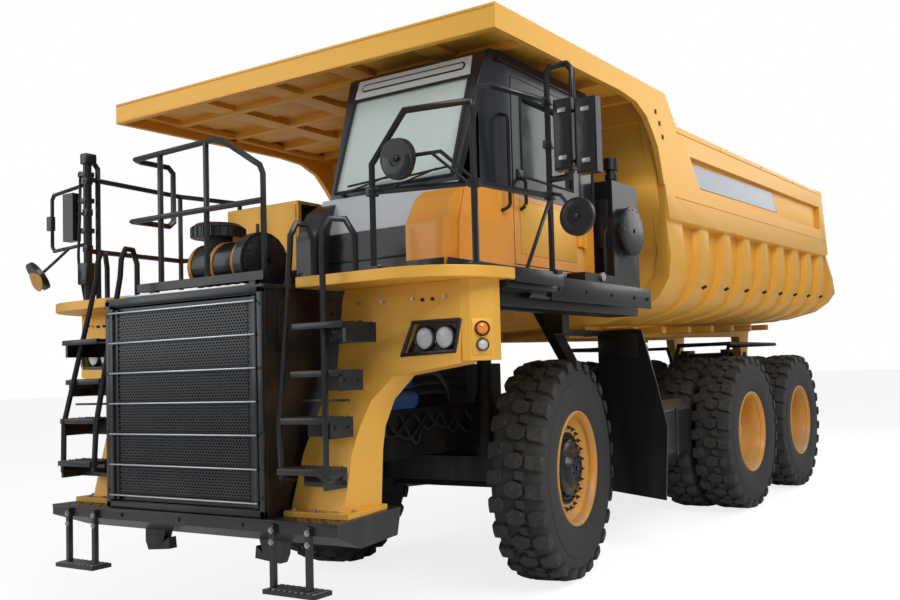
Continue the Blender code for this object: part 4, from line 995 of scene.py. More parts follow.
@dataclass
class Nose:
    """Perforated grille panels, their bright bars and the housing's trim."""

    truck: Truck
    face: float = -2.712
    first_bar: float = 1.01
    bar_step: float = 0.20833
    panels: int = 6
    half: float = 0.655
    columns: int = 46
    rows: int = 10

    def perforated(self, low: float, high: float, shape: Shape) -> None:
        """Draws one plate with staggered oval holes between two heights."""
        bm = shape.bm
        wide, tall = 2 * self.half / self.columns, (high - low) / self.rows
        spots = [(1, 0), (1, 1), (0, 1), (-1, 1), (-1, 0), (-1, -1), (0, -1), (1, -1)]
        for row in range(self.rows):
            shift = wide / 2 if row % 2 else 0.0
            for column in range(self.columns - row % 2):
                x = -self.half + wide * (column + 0.5) + shift
                z = low + tall * (row + 0.5)
                edge = [bm.verts.new((x + a * wide / 2, self.face, z + b * tall / 2)) for a, b in spots]
                rim, back = [], []
                for index in range(8):
                    turn = index * math.pi / 4
                    place = (x + 0.31 * wide * math.cos(turn), z + 0.30 * tall * math.sin(turn))
                    rim.append(bm.verts.new((place[0], self.face, place[1])))
                    back.append(bm.verts.new((place[0], self.face + 0.006, place[1])))
                for index in range(8):
                    after = (index + 1) % 8
                    bm.faces.new((edge[index], edge[after], rim[after], rim[index]))
                    bm.faces.new((rim[index], rim[after], back[after], back[index]))

    def build(self) -> None:
        """Builds the nose's detail."""
        mesh, bars = Shape(), Shape()
        for index in range(self.panels):
            low = self.first_bar + index * self.bar_step
            self.perforated(low + 0.020, low + self.bar_step - 0.002, mesh)
        add(mesh, "grille_mesh", Finish.BLACK, angle=20)
        for index in range(self.panels + 1):
            low = self.first_bar + index * self.bar_step
            bars.box((-0.734, -2.738, low + 0.004), (0.734, -2.730, low + 0.012), 0.0015)
        add(bars, "grille_bars", Finish.SILVER)
        frame = Shape()
        for side in (1, -1):
            a, b = span(side, 0.740, 0.786)
            frame.box((a, -2.724, 0.93), (b, -2.700, 2.355), 0.004)
            a, b = span(side, 0.700, 0.735)
            frame.box((a, -2.728, 0.985), (b, -2.690, 2.30), 0.003)
        frame.box((-0.786, -2.724, 2.318), (0.786, -2.700, 2.358), 0.004)
        frame.box((-0.786, -2.724, 0.93), (0.786, -2.700, 0.972), 0.004)
        frame.bolts(
            [(x * 0.763, -2.724, z) for x in (1, -1) for z in (1.05, 1.45, 1.85, 2.25)], (0, -1, 0), 0.009,
            0.006,
        )
        add(frame, "grille_frame", Finish.BLACK)
        sill = Shape().box((-0.60, -2.705, 2.3722), (0.62, -2.62, 2.384), 0.003)
        for index in range(14):
            x = -0.55 + index * 0.085
            sill.box((x, -2.695, 2.384), (x + 0.04, -2.63, 2.388), 0.001)
        add(sill, "housing_top_plate", Finish.SILVER)
        side_panels = Shape()
        for side in (1, -1):
            a, b = span(side, 0.786, 0.791)
            side_panels.box((a, -2.60, 1.05), (b, -2.10, 2.28), 0.002)
            side_panels.bolts(
                [(side * 0.791, y, z) for y in (-2.57, -2.13) for z in (1.1, 1.65, 2.2)], (side, 0, 0),
                0.010, 0.006,
            )
        add(side_panels, "housing_side_panels", Finish.BLACK)


@dataclass
class Lamps:
    """Headlamps and corner lamps in the fenders."""

    truck: Truck

    def round_lamp(self, name: str, place: Vector, axis: Vector, radius: float, lens: Finish) -> None:
        """A bezel, a bright bowl and a domed lens that faces along the axis."""
        bezel = [
            (-0.02, radius), (-0.02, radius * 1.18), (0.012, radius * 1.18), (0.018, radius * 1.08),
            (0.010, radius),
        ]
        add(Shape().lathe(bezel, place, axis, 40), name + "_bezel", Finish.BLACK)
        bowl = [
            (-0.02, 0.002), (-0.014, radius * 0.3), (-0.004, radius * 0.7), (0.006, radius),
            (-0.02, radius), (-0.024, 0.002),
        ]
        add(Shape().lathe(bowl, place, axis, 40), name + "_bowl", Finish.SILVER)
        dome = [
            (0.006, radius), (0.014, radius * 0.8), (0.020, radius * 0.45), (0.022, 0.002), (0.018, 0.002),
            (0.016, radius * 0.45), (0.010, radius * 0.8), (0.002, radius),
        ]
        add(Shape().lathe(dome, place, axis, 40), name + "_lens", lens, angle=60)
        add(Shape().ball(place + axis * 0.002, radius * 0.24), name + "_bulb", Finish.SILVER)

    def side(self, side: int) -> None:
        """The lamps of one fender."""
        word = "left" if side > 0 else "right"
        forward = Vector((0, -1, 0))
        outline = [
            (side * x, z)
            for x, z in ((1.468, 1.917), (1.853, 1.927), (1.890, 2.083), (1.564, 2.083))
        ]
        housing = Shape().prism(outline, "Y", -2.172, -2.151)
        rim = ((1.455, 1.900), (1.870, 1.912), (1.912, 2.100), (1.552, 2.100))
        housing.loop([(side * x, -2.208, z) for x, z in rim], 0.013, 0.0135)
        add(housing, f"{word}_headlamp_housing", Finish.BLACK)
        for index, x in enumerate((1.622, 1.778)):
            self.round_lamp(
                f"{word}_headlamp_{index + 1}", Vector((side * x, -2.182, 2.0)), forward, 0.066,
                Finish.LENS,
            )
        out = Vector((side * 0.8, -0.6, 0))
        middle = Vector((side * 2.004, -2.112, 0))
        plate = Shape()
        turn = Matrix.Rotation(math.atan2(out.x, -out.y), 3, "Z")
        plate.box(
            (middle.x - 0.062, middle.y - 0.006, 1.885), (middle.x + 0.062, middle.y + 0.004, 2.105), 0.003,
            turn,
        )
        add(plate, f"{word}_corner_lamp_plate", Finish.BODY)
        self.round_lamp(
            f"{word}_turn_lamp", middle + out * 0.008 + Vector((0, 0, 2.045)), out, 0.040, Finish.AMBER,
        )
        self.round_lamp(
            f"{word}_corner_lamp", middle + out * 0.008 + Vector((0, 0, 1.945)), out, 0.034, Finish.LENS,
        )

    def build(self) -> None:
        """Builds both sides."""
        both(self.side)


@dataclass
class Cab:
    """Panels, seals, wipers and trim of the cab and its door."""

    truck: Truck
    glass_foot: tuple[float, float] = (-1.90, 3.02)
    lean: float = 0.30 / 0.95

    def on_glass(self, x: float, z: float, out: float = 0.0) -> Vector:
        """A place in the front's sloping plane, out from it by a distance."""
        length = math.hypot(1, self.lean)
        return Vector(
            (
                x, self.glass_foot[0] + (z - self.glass_foot[1]) * self.lean - out / length,
                z + out * self.lean / length,
            )
        )

    def slab(self, shape: Shape, corners: Sequence[tuple[float, float]], low: float, high: float) -> None:
        """A flat piece in the sloping plane, between two distances out from it."""
        bm = shape.bm
        near = [bm.verts.new(self.on_glass(x, z, low)) for x, z in corners]
        far = [bm.verts.new(self.on_glass(x, z, high)) for x, z in corners]
        bm.faces.new(far)
        bm.faces.new(list(reversed(near)))
        for index in range(len(corners)):
            after = (index + 1) % len(corners)
            bm.faces.new((near[index], near[after], far[after], far[index]))

    def oval(self, x0: float, x1: float, z0: float, z1: float) -> list[tuple[float, float]]:
        """A slot's outline with round ends."""
        radius = (z1 - z0) / 2
        points = []
        for middle, start in ((x1 - radius, -90), (x0 + radius, 90)):
            for step in range(9):
                turn = math.radians(start + step * 22.5)
                points.append((middle + radius * math.cos(turn), (z0 + z1) / 2 + radius * math.sin(turn)))
        return points

    def front(self) -> None:
        """The pale header, the grey band, the black panel and the wipers."""
        header = Shape()
        self.slab(header, [(0.585, 3.808), (1.635, 3.808), (1.625, 3.955), (0.595, 3.955)], 0.0005, 0.006)
        add(header, "cab_header_panel", Finish.PALE)
        slot = Shape()
        self.slab(slot, self.oval(0.64, 1.58, 3.858, 3.918), 0.005, 0.009)
        add(slot, "cab_header_slot", Finish.BLACK)
        fill = Shape()
        self.slab(fill, self.oval(0.652, 1.568, 3.869, 3.907), 0.008, 0.0115)
        add(fill, "cab_header_insert", Finish.PALE)
        corners = ((0.590, 3.080), (1.630, 3.080), (1.630, 3.800), (0.590, 3.800))
        line = [self.on_glass(x, z, 0.002) for x, z in corners]
        add(Shape().loop(line, 0.011, 0.0112), "windshield_seal", Finish.SEAL)
        band = Shape().prism(
            [(-1.984, 2.765), (-1.986, 2.780), (-1.912, 3.030), (-1.904, 3.028), (-1.976, 2.77)], "X", 0.50,
            1.70,
        )
        add(band, "cab_front_band", Finish.BRACKET)
        panel = Shape().prism(
            [(-2.006, 2.46), (-1.987, 2.76), (-1.978, 2.76), (-1.997, 2.46)], "X", 0.636, 1.424,
        )
        panel.box((0.66, -2.012, 2.56), (1.40, -1.992, 2.575), 0.003)
        add(panel, "cab_lower_panel", Finish.BLACK)
        cheek = [
            (-2.125, 2.424), (-2.125, 2.742), (-2.023, 2.927), (-1.900, 3.007), (-1.860, 3.007),
            (-1.860, 2.424),
        ]
        add(Shape().prism(cheek, "X", 0.455, 0.635), "cab_inner_cheek", Finish.BLACK)
        wipers = Shape()
        for pivot, tip in ((0.70, 1.08), (1.18, 1.52)):
            foot = self.on_glass(pivot, 3.045, 0.0)
            wipers.rod(foot, self.on_glass(pivot, 3.045, 0.035), 0.016, 12)
            wipers.pipe(
                [
                    self.on_glass(pivot, 3.045, 0.03), self.on_glass((pivot + tip) / 2, 3.075, 0.045),
                    self.on_glass(tip, 3.125, 0.03),
                ],
                0.007, 6, 0.03,
            )
            wipers.rod(
                self.on_glass(pivot + 0.02, 3.110, 0.016), self.on_glass(tip + 0.09, 3.135, 0.016), 0.008,
                6,
            )
            wipers.rod(self.on_glass(tip, 3.125, 0.03), self.on_glass(tip, 3.125, 0.014), 0.006, 6)
        add(wipers, "wipers", Finish.SEAL)

    def sides(self) -> None:
        """The kick band, drip rail, grab rails and the rear vent."""
        kick = Shape()
        kick.box((1.758, -2.115, 2.424), (1.766, -0.205, 2.505), 0.002)
        kick.box((0.454, -2.115, 2.424), (0.462, -0.205, 2.505), 0.002)
        kick.box((1.435, -2.127, 2.424), (1.738, -2.119, 2.505), 0.002)
        kick.box((0.465, -2.127, 2.424), (0.625, -2.119, 2.505), 0.002)
        add(kick, "cab_kick_band", Finish.BLACK)
        drip = Shape()
        for x in (0.455, 1.765):
            drip.box((x - 0.010, -1.52, 3.925), (x + 0.010, -0.23, 3.940), 0.003)
        drip.box((0.50, -0.207, 3.925), (1.72, -0.19, 3.940), 0.003)
        add(drip, "cab_drip_rails", Finish.BLACK)
        rails = Shape()
        rails.pipe(
            [(1.76, -1.50, 3.55), (1.83, -1.50, 3.53), (1.83, -1.50, 2.90), (1.76, -1.50, 2.88)], 0.013, 8,
        )
        rails.pipe(
            [(1.76, -0.30, 3.45), (1.82, -0.30, 3.43), (1.82, -0.30, 2.95), (1.76, -0.30, 2.93)], 0.013, 8,
        )
        add(rails, "cab_grab_rails", Finish.BLACK)
        vent = Shape().box((0.75, -0.196, 2.60), (1.45, -0.188, 2.95), 0.003)
        for index in range(8):
            vent.box((0.79, -0.190, 2.635 + index * 0.037), (1.41, -0.178, 2.650 + index * 0.037), 0.002)
        add(vent, "cab_rear_vent", Finish.BLACK)

    def window_seal(self, name: str, corners: Sequence[Point], body: str = "truck") -> None:
        """A rubber frame round a window."""
        add(Shape().loop(corners, 0.010, 0.0102), name, Finish.SEAL, body)

    def door(self) -> None:
        """The door's handle, seal and lower panel."""
        corners = [(1.764, -1.24, 3.16), (1.764, -0.52, 3.16), (1.764, -0.52, 3.74), (1.764, -1.24, 3.74)]
        self.window_seal("door_window_seal", corners, "door")
        trim = Shape()
        trim.pipe(
            [(1.76, -1.27, 3.145), (1.812, -1.27, 3.12), (1.812, -1.27, 2.94), (1.76, -1.27, 2.915)],
            0.0135, 8, 0.03,
        )
        trim.box((1.763, -1.31, 3.13), (1.772, -1.23, 3.20), 0.003)
        trim.rod((1.765, -1.27, 3.165), (1.776, -1.27, 3.165), 0.014, 12)
        add(trim, "door_handle", Finish.BLACK, "door")
        lower = Shape().box((1.763, -1.28, 2.60), (1.768, -0.49, 2.98), 0.004)
        add(lower, "door_panel", Finish.BODY, "door")

    def build(self) -> None:
        """Builds the cab's detail."""
        self.front()
        self.sides()
        self.door()
        side = [(0.457, -1.50, 3.06), (0.457, -0.42, 3.06), (0.457, -0.42, 3.80), (0.457, -1.42, 3.80)]
        self.window_seal("side_window_seal", side)
        rear = [(0.72, -0.198, 3.10), (1.50, -0.198, 3.10), (1.50, -0.198, 3.70), (0.72, -0.198, 3.70)]
        self.window_seal("rear_window_seal", rear)


@dataclass
class Access:
    """Ladder gratings, deck edges, bolts, mirrors and bumper detail."""

    truck: Truck

    def side(self, side: int) -> None:
        """One ladder's treads and one side's bolts."""
        word = "left" if side > 0 else "right"
        grating = Shape()
        treads = (
            (0.93, 1.31, -2.75, -2.56, 1.237),
            (0.93, 1.33, -2.72, -2.52, 1.537),
            (0.96, 1.36, -2.66, -2.46, 1.817),
            (0.98, 1.40, -2.66, -2.38, 2.107),
        )
        for inner, outer, front, rear, z in treads:
            for column in range(11):
                x = inner + 0.02 + (outer - inner - 0.04) * column / 10
                for row in range(4):
                    y = front + 0.02 + (rear - front - 0.04) * row / 3
                    grating.rod((side * x, y, z - 0.001), (side * x, y, z + 0.006), 0.009, 8, 0.006)
            low, high = span(side, inner, outer)
            grating.box((low, front - 0.006, z - 0.035), (high, front, z + 0.002), 0.002)
            grating.bolts(
                [
                    (side * (outer + 0.001), front + 0.05, z - 0.06),
                    (side * (outer + 0.001), rear - 0.04, z - 0.06),
                ],
                (side, 0, 0), 0.009, 0.007,
            )
        low, high = span(side, 0.99, 1.35)
        grating.box((low, -2.60, 1.63), (high, -2.56, 1.645), 0.003)
        add(grating, f"{word}_ladder_gratings", Finish.BLACK)
        foot = Shape().bolts(
            [
                (side * x, y, 0.9603)
                for x, y in ((0.88, -2.575), (1.05, -2.575), (1.22, -2.575), (1.30, -2.50))
            ], (0, 0, 1), 0.014, 0.012
        )
        foot.bolts(
            [(side * x, -2.212, z) for x, z in ((1.10, 2.25), (1.30, 2.25), (1.55, 2.25), (1.80, 2.25))],
            (0, -1, 0), 0.009, 0.006,
        )
        add(foot, f"{word}_fender_bolts", Finish.STEEL)
        holes = Shape()
        for x, z in ((1.02, 2.13), (1.10, 2.13), (1.62, 2.24), (1.70, 2.24)):
            holes.rod((side * x, -2.18, z), (side * x, -2.206, z), 0.011, 12)
        add(holes, f"{word}_fender_holes", Finish.SEAL)
        hangers = Shape()
        for x in (0.8825, 1.1825):
            hangers.bolts([(side * x, -2.765, 0.87), (side * x, -2.765, 0.80)], (0, -1, 0), 0.013, 0.012)
        for index in range(9):
            x = 0.86 + index * 0.0475
            low, high = span(side, x, x + 0.022)
            hangers.box((low, -2.79, 0.525), (high, -2.67, 0.531), 0.001)
        add(hangers, f"{word}_bumper_step_bolts", Finish.STEEL)
        edge = Shape()
        low, high = span(side, 2.132, 2.148)
        edge.box((low, -1.93, 2.335), (high, -1.35, 2.428), 0.003)
        low, high = span(side, 1.972, 1.988)
        edge.box((low, -1.25, 2.26), (high, 0.365, 2.428), 0.003)
        low, high = span(side, 1.60, 1.885)
        edge.box((low, -1.82, 2.205), (high, 0.32, 2.348), 0.006)
        low, high = span(side, 1.885, 2.10)
        edge.box((low, -1.95, 2.30), (high, -1.36, 2.348), 0.004)
        edge.bolts(
            [(side * 1.988, y, 2.34) for y in (-1.15, -0.75, -0.35, 0.05, 0.30)], (side, 0, 0), 0.012, 0.01,
        )
        add(edge, f"{word}_deck_edge", Finish.BLACK)
        under = Shape()
        for y in (-1.35, -0.55):
            under.rod((side * 1.93, y - 0.13, 2.30), (side * 1.93, y + 0.13, 2.30), 0.035, 14)
        add(under, f"{word}_deck_mounts", Finish.BLACK)

    def mirrors(self) -> None:
        """Mirror faces, rims and bracket clamps."""
        faces, rims, lips = Shape(), Shape(), Shape()
        for x, y, z, r in ((1.66, -2.43, 3.075, 0.125), (2.36, -1.50, 2.77, 0.125)):
            faces.rod((x, y, z), (x, y + 0.003, z), r * 0.93, 32)
            rims.lathe(
                [
                    (-0.032, r * 0.4), (-0.034, r * 0.8), (-0.022, r * 1.01), (0.004, r * 1.02),
                    (0.004, r * 0.95), (-0.02, r * 0.9),
                ],
                (x, y, z), (0, 1, 0), 40,
            )
            rims.ball((x, y - 0.034, z), 0.022)
        for x0, x1, z0, z1 in ((2.175, 2.315, 3.10, 3.58), (2.345, 2.50, 3.06, 3.56)):
            faces.box((x0 + 0.012, -1.40, z0 + 0.012), (x1 - 0.012, -1.397, z1 - 0.012), 0.001)
            rims.box((x0 + 0.01, -1.478, z0 + 0.01), (x1 - 0.01, -1.468, z1 - 0.01), 0.004)
            for z in (z0 + 0.08, z1 - 0.08):
                lips.box(
                    ((x0 + x1) / 2 - 0.03, -1.485, z - 0.015), ((x0 + x1) / 2 + 0.03, -1.465, z + 0.015),
                    0.003,
                )
        faces.box((-2.228, -2.085, 2.992), (-2.112, -2.080, 3.368), 0.001)
        add(faces, "mirror_faces", Finish.MIRROR)
        add(rims, "mirror_backs", Finish.BLACK)
        add(lips, "mirror_clamps", Finish.STEEL)
        back = Shape().lathe(
            [(-0.001, 0.01), (-0.001, 0.120), (-0.010, 0.112), (-0.014, 0.01)], (-2.36, -2.31, 2.68),
            (0.20, 0.95, 0.25), 32,
        )
        add(back, "right_round_mirror_back", Finish.RIM)

    def feet(self) -> None:
        """Bolts of the rails' feet and clamps on the posts."""
        bolts, clamps = Shape(), Shape()
        for x, y in (
            (1.45, -2.44), (2.02, -2.17), (2.10, -1.42), (-1.95, -2.12), (-1.95, -1.25), (-1.40, -1.05),
        ):
            for dx in (-0.042, 0.042):
                bolts.bolts([(x + dx, y, 2.4403)], (0, 0, 1), 0.010, 0.010)
        bolts.bolts(
            [(1.52, -2.43, 2.4203), (1.75, -2.36, 2.4203), (1.92, -2.22, 2.4203)], (0, 0, 1), 0.012, 0.01,
        )
        for x, y, z in (
            (1.45, -2.44, 2.90), (2.02, -2.17, 2.93), (2.10, -1.42, 2.95), (2.10, -1.42, 3.30),
            (2.10, -1.42, 3.60), (-1.95, -2.12, 3.46), (-1.95, -2.12, 2.90), (-1.95, -2.12, 3.20),
        ):
            clamps.box((x - 0.030, y - 0.030, z - 0.028), (x + 0.030, y + 0.030, z + 0.028), 0.006)
            clamps.bolts([(x, y - 0.030, z)], (0, -1, 0), 0.008, 0.008)
        for z in (3.05, 3.30, 3.52):
            clamps.box((-2.03, -2.155, z - 0.02), (-1.93, -2.07, z + 0.02), 0.005)
        clamps.pipe(
            [(-1.99, -2.12, 2.45), (-2.02, -2.16, 2.80), (-1.99, -2.16, 3.20), (-2.03, -2.13, 3.55)], 0.011,
            8,
        )
        clamps.box((-1.99, -2.16, 3.60), (-1.91, -2.06, 3.69), 0.01)
        clamps.box((-2.02, -2.17, 2.60), (-1.90, -2.08, 2.78), 0.01)
        add(bolts, "rail_bolts", Finish.STEEL)
        add(clamps, "rail_clamps", Finish.BLACK)

    def bumper(self) -> None:
        """The bumper's chequered top, edge plate and bolts."""
        top = Shape()
        for row in range(3):
            for column in range(44):
                x = -1.29 + column * 0.06
                if abs(x) < 0.82 and row > 0:
                    continue
                y = -2.725 + row * 0.05
                turn = Matrix.Rotation(math.radians(45 if (row + column) % 2 else -45), 3, "Z")
                top.box((x - 0.014, y - 0.003, 0.924), (x + 0.014, y + 0.003, 0.928), 0, turn)
        add(top, "bumper_chequer", Finish.BLACK)
        seam = Shape().box((-1.395, -2.748, 0.905), (1.395, -2.738, 0.927), 0.003)
        seam.bolts([(x * 0.2, -2.741, 0.885) for x in range(-6, 7, 3)], (0, -1, 0), 0.011, 0.01)
        add(seam, "bumper_lip", Finish.BLACK)

    def build(self) -> None:
        """Builds everything people climb by, hold or look in."""
        both(self.side)
        self.mirrors()
        self.feet()
        self.bumper()


@dataclass
class Hopper:
    """Plates, slots, seams and underside detail of the tipping body."""

    truck: Truck
    skin: float = 1.983

    def side(self, side: int) -> None:
        """One side's blank plate, slots, light line and holes."""
        word = "left" if side > 0 else "right"
        low, high = span(side, 1.9225, 1.931)
        plate = Shape().prism(
            [(1.424, 3.715), (4.042, 3.828), (4.206, 3.610), (1.577, 3.512)], "X", low, high,
        )
        add(plate, f"{word}_blank_plate", Finish.PLATE, "tipping_body")
        low, high = span(side, 1.9225, 1.932)
        stripe = Shape().prism(
            [(4.046, 3.828), (4.075, 3.829), (4.239, 3.611), (4.210, 3.610)], "X", low, high,
        )
        add(stripe, f"{word}_plate_stripe", Finish.RED, "tipping_body")
        slots = Shape()
        low, high = span(side, 1.975, 1.985)
        for y, z in ((0.585, 4.02), (0.66, 3.93), (0.72, 3.82)):
            slots.box((low, y, z - 0.022), (high, y + 0.05, z + 0.022), 0.004)
        for index in range(8):
            middle = 1.75 + 0.63 * index
            lift = (middle - 0.95) * 0.0297
            slots.rod((side * 1.945, middle, 2.52 + lift), (side * 1.9, middle, 2.50 + lift), 0.016, 14)
        add(slots, f"{word}_body_slots", Finish.SEAL, "tipping_body")
        rail = Shape()
        low, high = span(side, 1.979, 1.990)
        rail.prism([(1.07, 3.930), (6.13, 4.102), (6.13, 4.116), (1.07, 3.944)], "X", low, high)
        rail.prism([(1.00, 3.315), (6.33, 3.472), (6.33, 3.482), (1.00, 3.325)], "X", low, high)
        for y in (2.2, 3.5, 4.8):
            z = 3.945 + (y - 1.05) * 0.034
            rail.prism(
                [(y, z - 0.02), (y + 0.012, z - 0.02), (y + 0.012, z + 0.02), (y, z + 0.02)], "X", low,
                high,
            )
        add(rail, f"{word}_body_welds", Finish.BODY, "tipping_body")

    def canopy(self) -> None:
        """Cross ribs and boxed edges under the canopy."""
        ribs = Shape()
        for y, z in ((-1.30, 4.075), (-0.70, 4.085), (-0.10, 4.095), (0.45, 4.10)):
            ribs.box((-1.92, y - 0.03, z), (1.92, y + 0.03, z + 0.075), 0.004)
        for side in (1, -1):
            low, high = span(side, 1.84, 1.93)
            ribs.box((low, -1.80, 4.085), (high, 0.60, 4.14), 0.006)
        add(ribs, "canopy_ribs", Finish.BODY, "tipping_body")
        panels = Shape()
        for x in (-1.55, -0.80, 0.0, 0.80, 1.55):
            for y in (-1.62, -1.24, -0.64, -0.04):
                panels.box((x - 0.24, y + 0.02, 4.118), (x + 0.24, y + 0.30, 4.128), 0.003)
        add(panels, "canopy_panels", Finish.BODY, "tipping_body")
        edge = Shape().box((-1.975, -1.846, 4.155), (1.975, -1.838, 4.172), 0.002)
        edge.box((-1.975, -1.846, 4.006), (1.975, -1.838, 4.020), 0.002)
        add(edge, "canopy_front_edges", Finish.BODY, "tipping_body")

    def underside(self) -> None:
        """The floor's cross members."""
        beams = Shape()
        for index in range(7):
            y = 1.75 + index * 0.72
            z = 2.135 + (y - 0.95) * 0.0297
            beams.box((-1.15, y - 0.05, z - 0.055), (1.15, y + 0.05, z + 0.02), 0.006)
        add(beams, "floor_beams", Finish.BODY, "tipping_body")

    def build(self) -> None:
        """Builds the body's detail."""
        both(self.side)
        self.canopy()
        self.underside()


@dataclass
class Machinery:
    """Deck equipment, hoses and parts that show under the deck."""

    truck: Truck

    def cleaner(self) -> None:
        """Rings, clamps and cap of the air cleaner."""
        rings = Shape()
        for x in (-0.43, -0.20, 0.02):
            rings.lathe(
                [(-0.012, 0.168), (-0.012, 0.176), (0.012, 0.176), (0.012, 0.168)], (x, -2.14, 2.6075),
                (1, 0, 0), 40,
            )
        add(rings, "air_cleaner_bands", Finish.RIM)
        cap = Shape().lathe(
            [(0.0, 0.02), (0.0, 0.19), (0.016, 0.185), (0.026, 0.12), (0.034, 0.05), (0.034, 0.02)],
            (0.16, -2.14, 2.6075), (1, 0, 0), 40,
        )
        for index in range(16):
            turn = index * math.pi / 8
            cap.rod(
                (0.164, -2.14 + 0.10 * math.cos(turn), 2.6075 + 0.10 * math.sin(turn)),
                (0.178, -2.14 + 0.18 * math.cos(turn), 2.6075 + 0.18 * math.sin(turn)), 0.006, 6,
            )
        cap.lathe(
            [(0.0, 0.02), (0.0, 0.19), (0.03, 0.15), (0.045, 0.02)], (-0.30, -2.16, 2.888), (0, 0, 1), 32,
        )
        for index in range(20):
            turn = index * math.pi / 10
            cap.box(
                (-0.30 + 0.186 * math.cos(turn) - 0.004, -2.16 + 0.186 * math.sin(turn) - 0.004, 2.815),
                (-0.30 + 0.186 * math.cos(turn) + 0.004, -2.16 + 0.186 * math.sin(turn) + 0.004, 2.885),
            )
        add(cap, "air_cleaner_cap", Finish.BLACK)
        duct = Shape().pipe(
            [(-0.38, -2.05, 2.60), (-0.38, -1.85, 2.60), (-0.35, -1.70, 2.52)], 0.07, 16, 0.08,
        )
        add(duct, "air_duct", Finish.HOSE)

    def cabinet(self) -> None:
        """The cabinet's side facing the cab as a black sheet of painted shade, its doors and catches."""
        # Painted shade: this black sheet with slats on the orange cabinet's +X side stands for the shade
        # between cabinet and cab.
        dark = Shape().box((-0.400, -1.27, 2.45), (-0.392, -0.38, 3.21), 0.003)
        for index in range(9):
            dark.box((-0.394, -1.18, 2.95 - index * 0.045), (-0.384, -0.60, 2.965 - index * 0.045), 0.002)
        add(dark, "cabinet_side_painted_shade", Finish.BLACK)
        doors = Shape()
        for x0, x1 in ((-1.235, -0.84), (-0.82, -0.425)):
            doors.box((x0, -1.308, 2.47), (x1, -1.299, 3.21), 0.004)
        add(doors, "cabinet_doors", Finish.BODY)
        catches = Shape()
        for x in (-0.87, -0.79):
            for z in (2.65, 3.05):
                catches.box((x - 0.012, -1.322, z - 0.04), (x + 0.012, -1.306, z + 0.04), 0.003)
        add(catches, "cabinet_catches", Finish.BLACK)

    def tank(self) -> None:
        """The side tank's round cover, bolts, gauge and stack clamp."""
        cover = Shape().lathe(
            [(-0.002, 0.02), (-0.002, 0.205), (0.012, 0.200), (0.020, 0.17), (0.020, 0.02)],
            (1.95, 0.12, 2.90), (1, 0, 0), 40,
        )
        places = [
            (1.955, 0.12 + 0.18 * math.cos(a), 2.90 + 0.18 * math.sin(a))
            for a in (index * math.pi / 8 for index in range(16))
        ]
        cover.bolts(places, (1, 0, 0), 0.010, 0.016)
        cover.lathe(
            [(-0.02, 0.046), (-0.02, 0.056), (0.02, 0.056), (0.02, 0.046)], (1.72, 0.22, 3.40), (0, 0, 1),
            24,
        )
        cover.box((1.62, -0.132, 2.75), (1.86, -0.119, 3.15), 0.006)
        cover.pipe(
            [(1.66, -0.13, 3.1), (1.66, -0.17, 3.1), (1.66, -0.17, 2.9), (1.66, -0.17, 2.5)], 0.016, 10,
        )
        cover.pipe([(1.84, -0.125, 2.90), (1.84, -0.165, 2.87), (1.84, -0.165, 2.50)], 0.014, 10)
        add(cover, "side_tank_cover", Finish.BLACK)
        gauge = Shape().rod((1.958, -0.45, 2.48), (1.975, -0.45, 2.48), 0.035, 20)
        add(gauge, "tank_gauge", Finish.STEEL)

    def below(self) -> None:
        """Hoses, pipes and engine parts under the deck."""
        blue = Shape()
        blue.box((0.42, -1.72, 1.66), (0.56, -1.05, 2.02), 0.02)
        blue.rod((0.58, -1.45, 1.58), (0.58, -1.10, 1.58), 0.07, 24)
        blue.box((0.30, -1.80, 1.30), (0.50, -1.30, 1.62), 0.015)
        for index in range(6):
            blue.rod((0.56, -1.66 + index * 0.115, 1.92), (0.585, -1.66 + index * 0.115, 1.92), 0.026, 12)
        add(blue, "engine_side_parts", Finish.BLUE)
        pipes = Shape()
        pipes.pipe(
            [(0.52, -1.80, 2.12), (0.80, -1.78, 2.08), (0.86, -1.60, 1.90), (0.70, -1.30, 1.82)], 0.045, 14,
        )
        pipes.pipe(
            [(0.40, -0.90, 1.90), (0.49, -0.80, 1.86), (0.49, -0.55, 1.68), (0.40, -0.40, 1.55)], 0.025, 12,
        )
        add(pipes, "coolant_pipes", Finish.DARK_STEEL)
        hoses = Shape()
        chance = random.Random(7)
        for index in range(12):
            y = -1.85 + index * 0.17
            drop = 0.12 + chance.random() * 0.14
            end = y + 0.25 + chance.random() * 0.2
            x = 0.395 + chance.random() * 0.02
            hoses.pipe(
                [
                    (0.38, y, 1.45), (x, y + 0.05, 1.45 - drop * 0.6),
                    (x + 0.02, (y + end) / 2, 1.45 - drop), (x, end, 1.42), (0.38, end + 0.05, 1.46),
                ],
                0.011 + chance.random() * 0.005, 8, 0.10,
            )
        for index in range(7):
            z = 1.60 + index * 0.075
            hoses.pipe(
                [
                    (0.41, -1.9, z), (0.50 + 0.01 * index, -1.5, z - 0.05), (0.50, -0.8, z + 0.03),
                    (0.41, -0.2, z),
                ],
                0.012, 8, 0.12,
            )
        add(hoses, "hoses", Finish.HOSE)

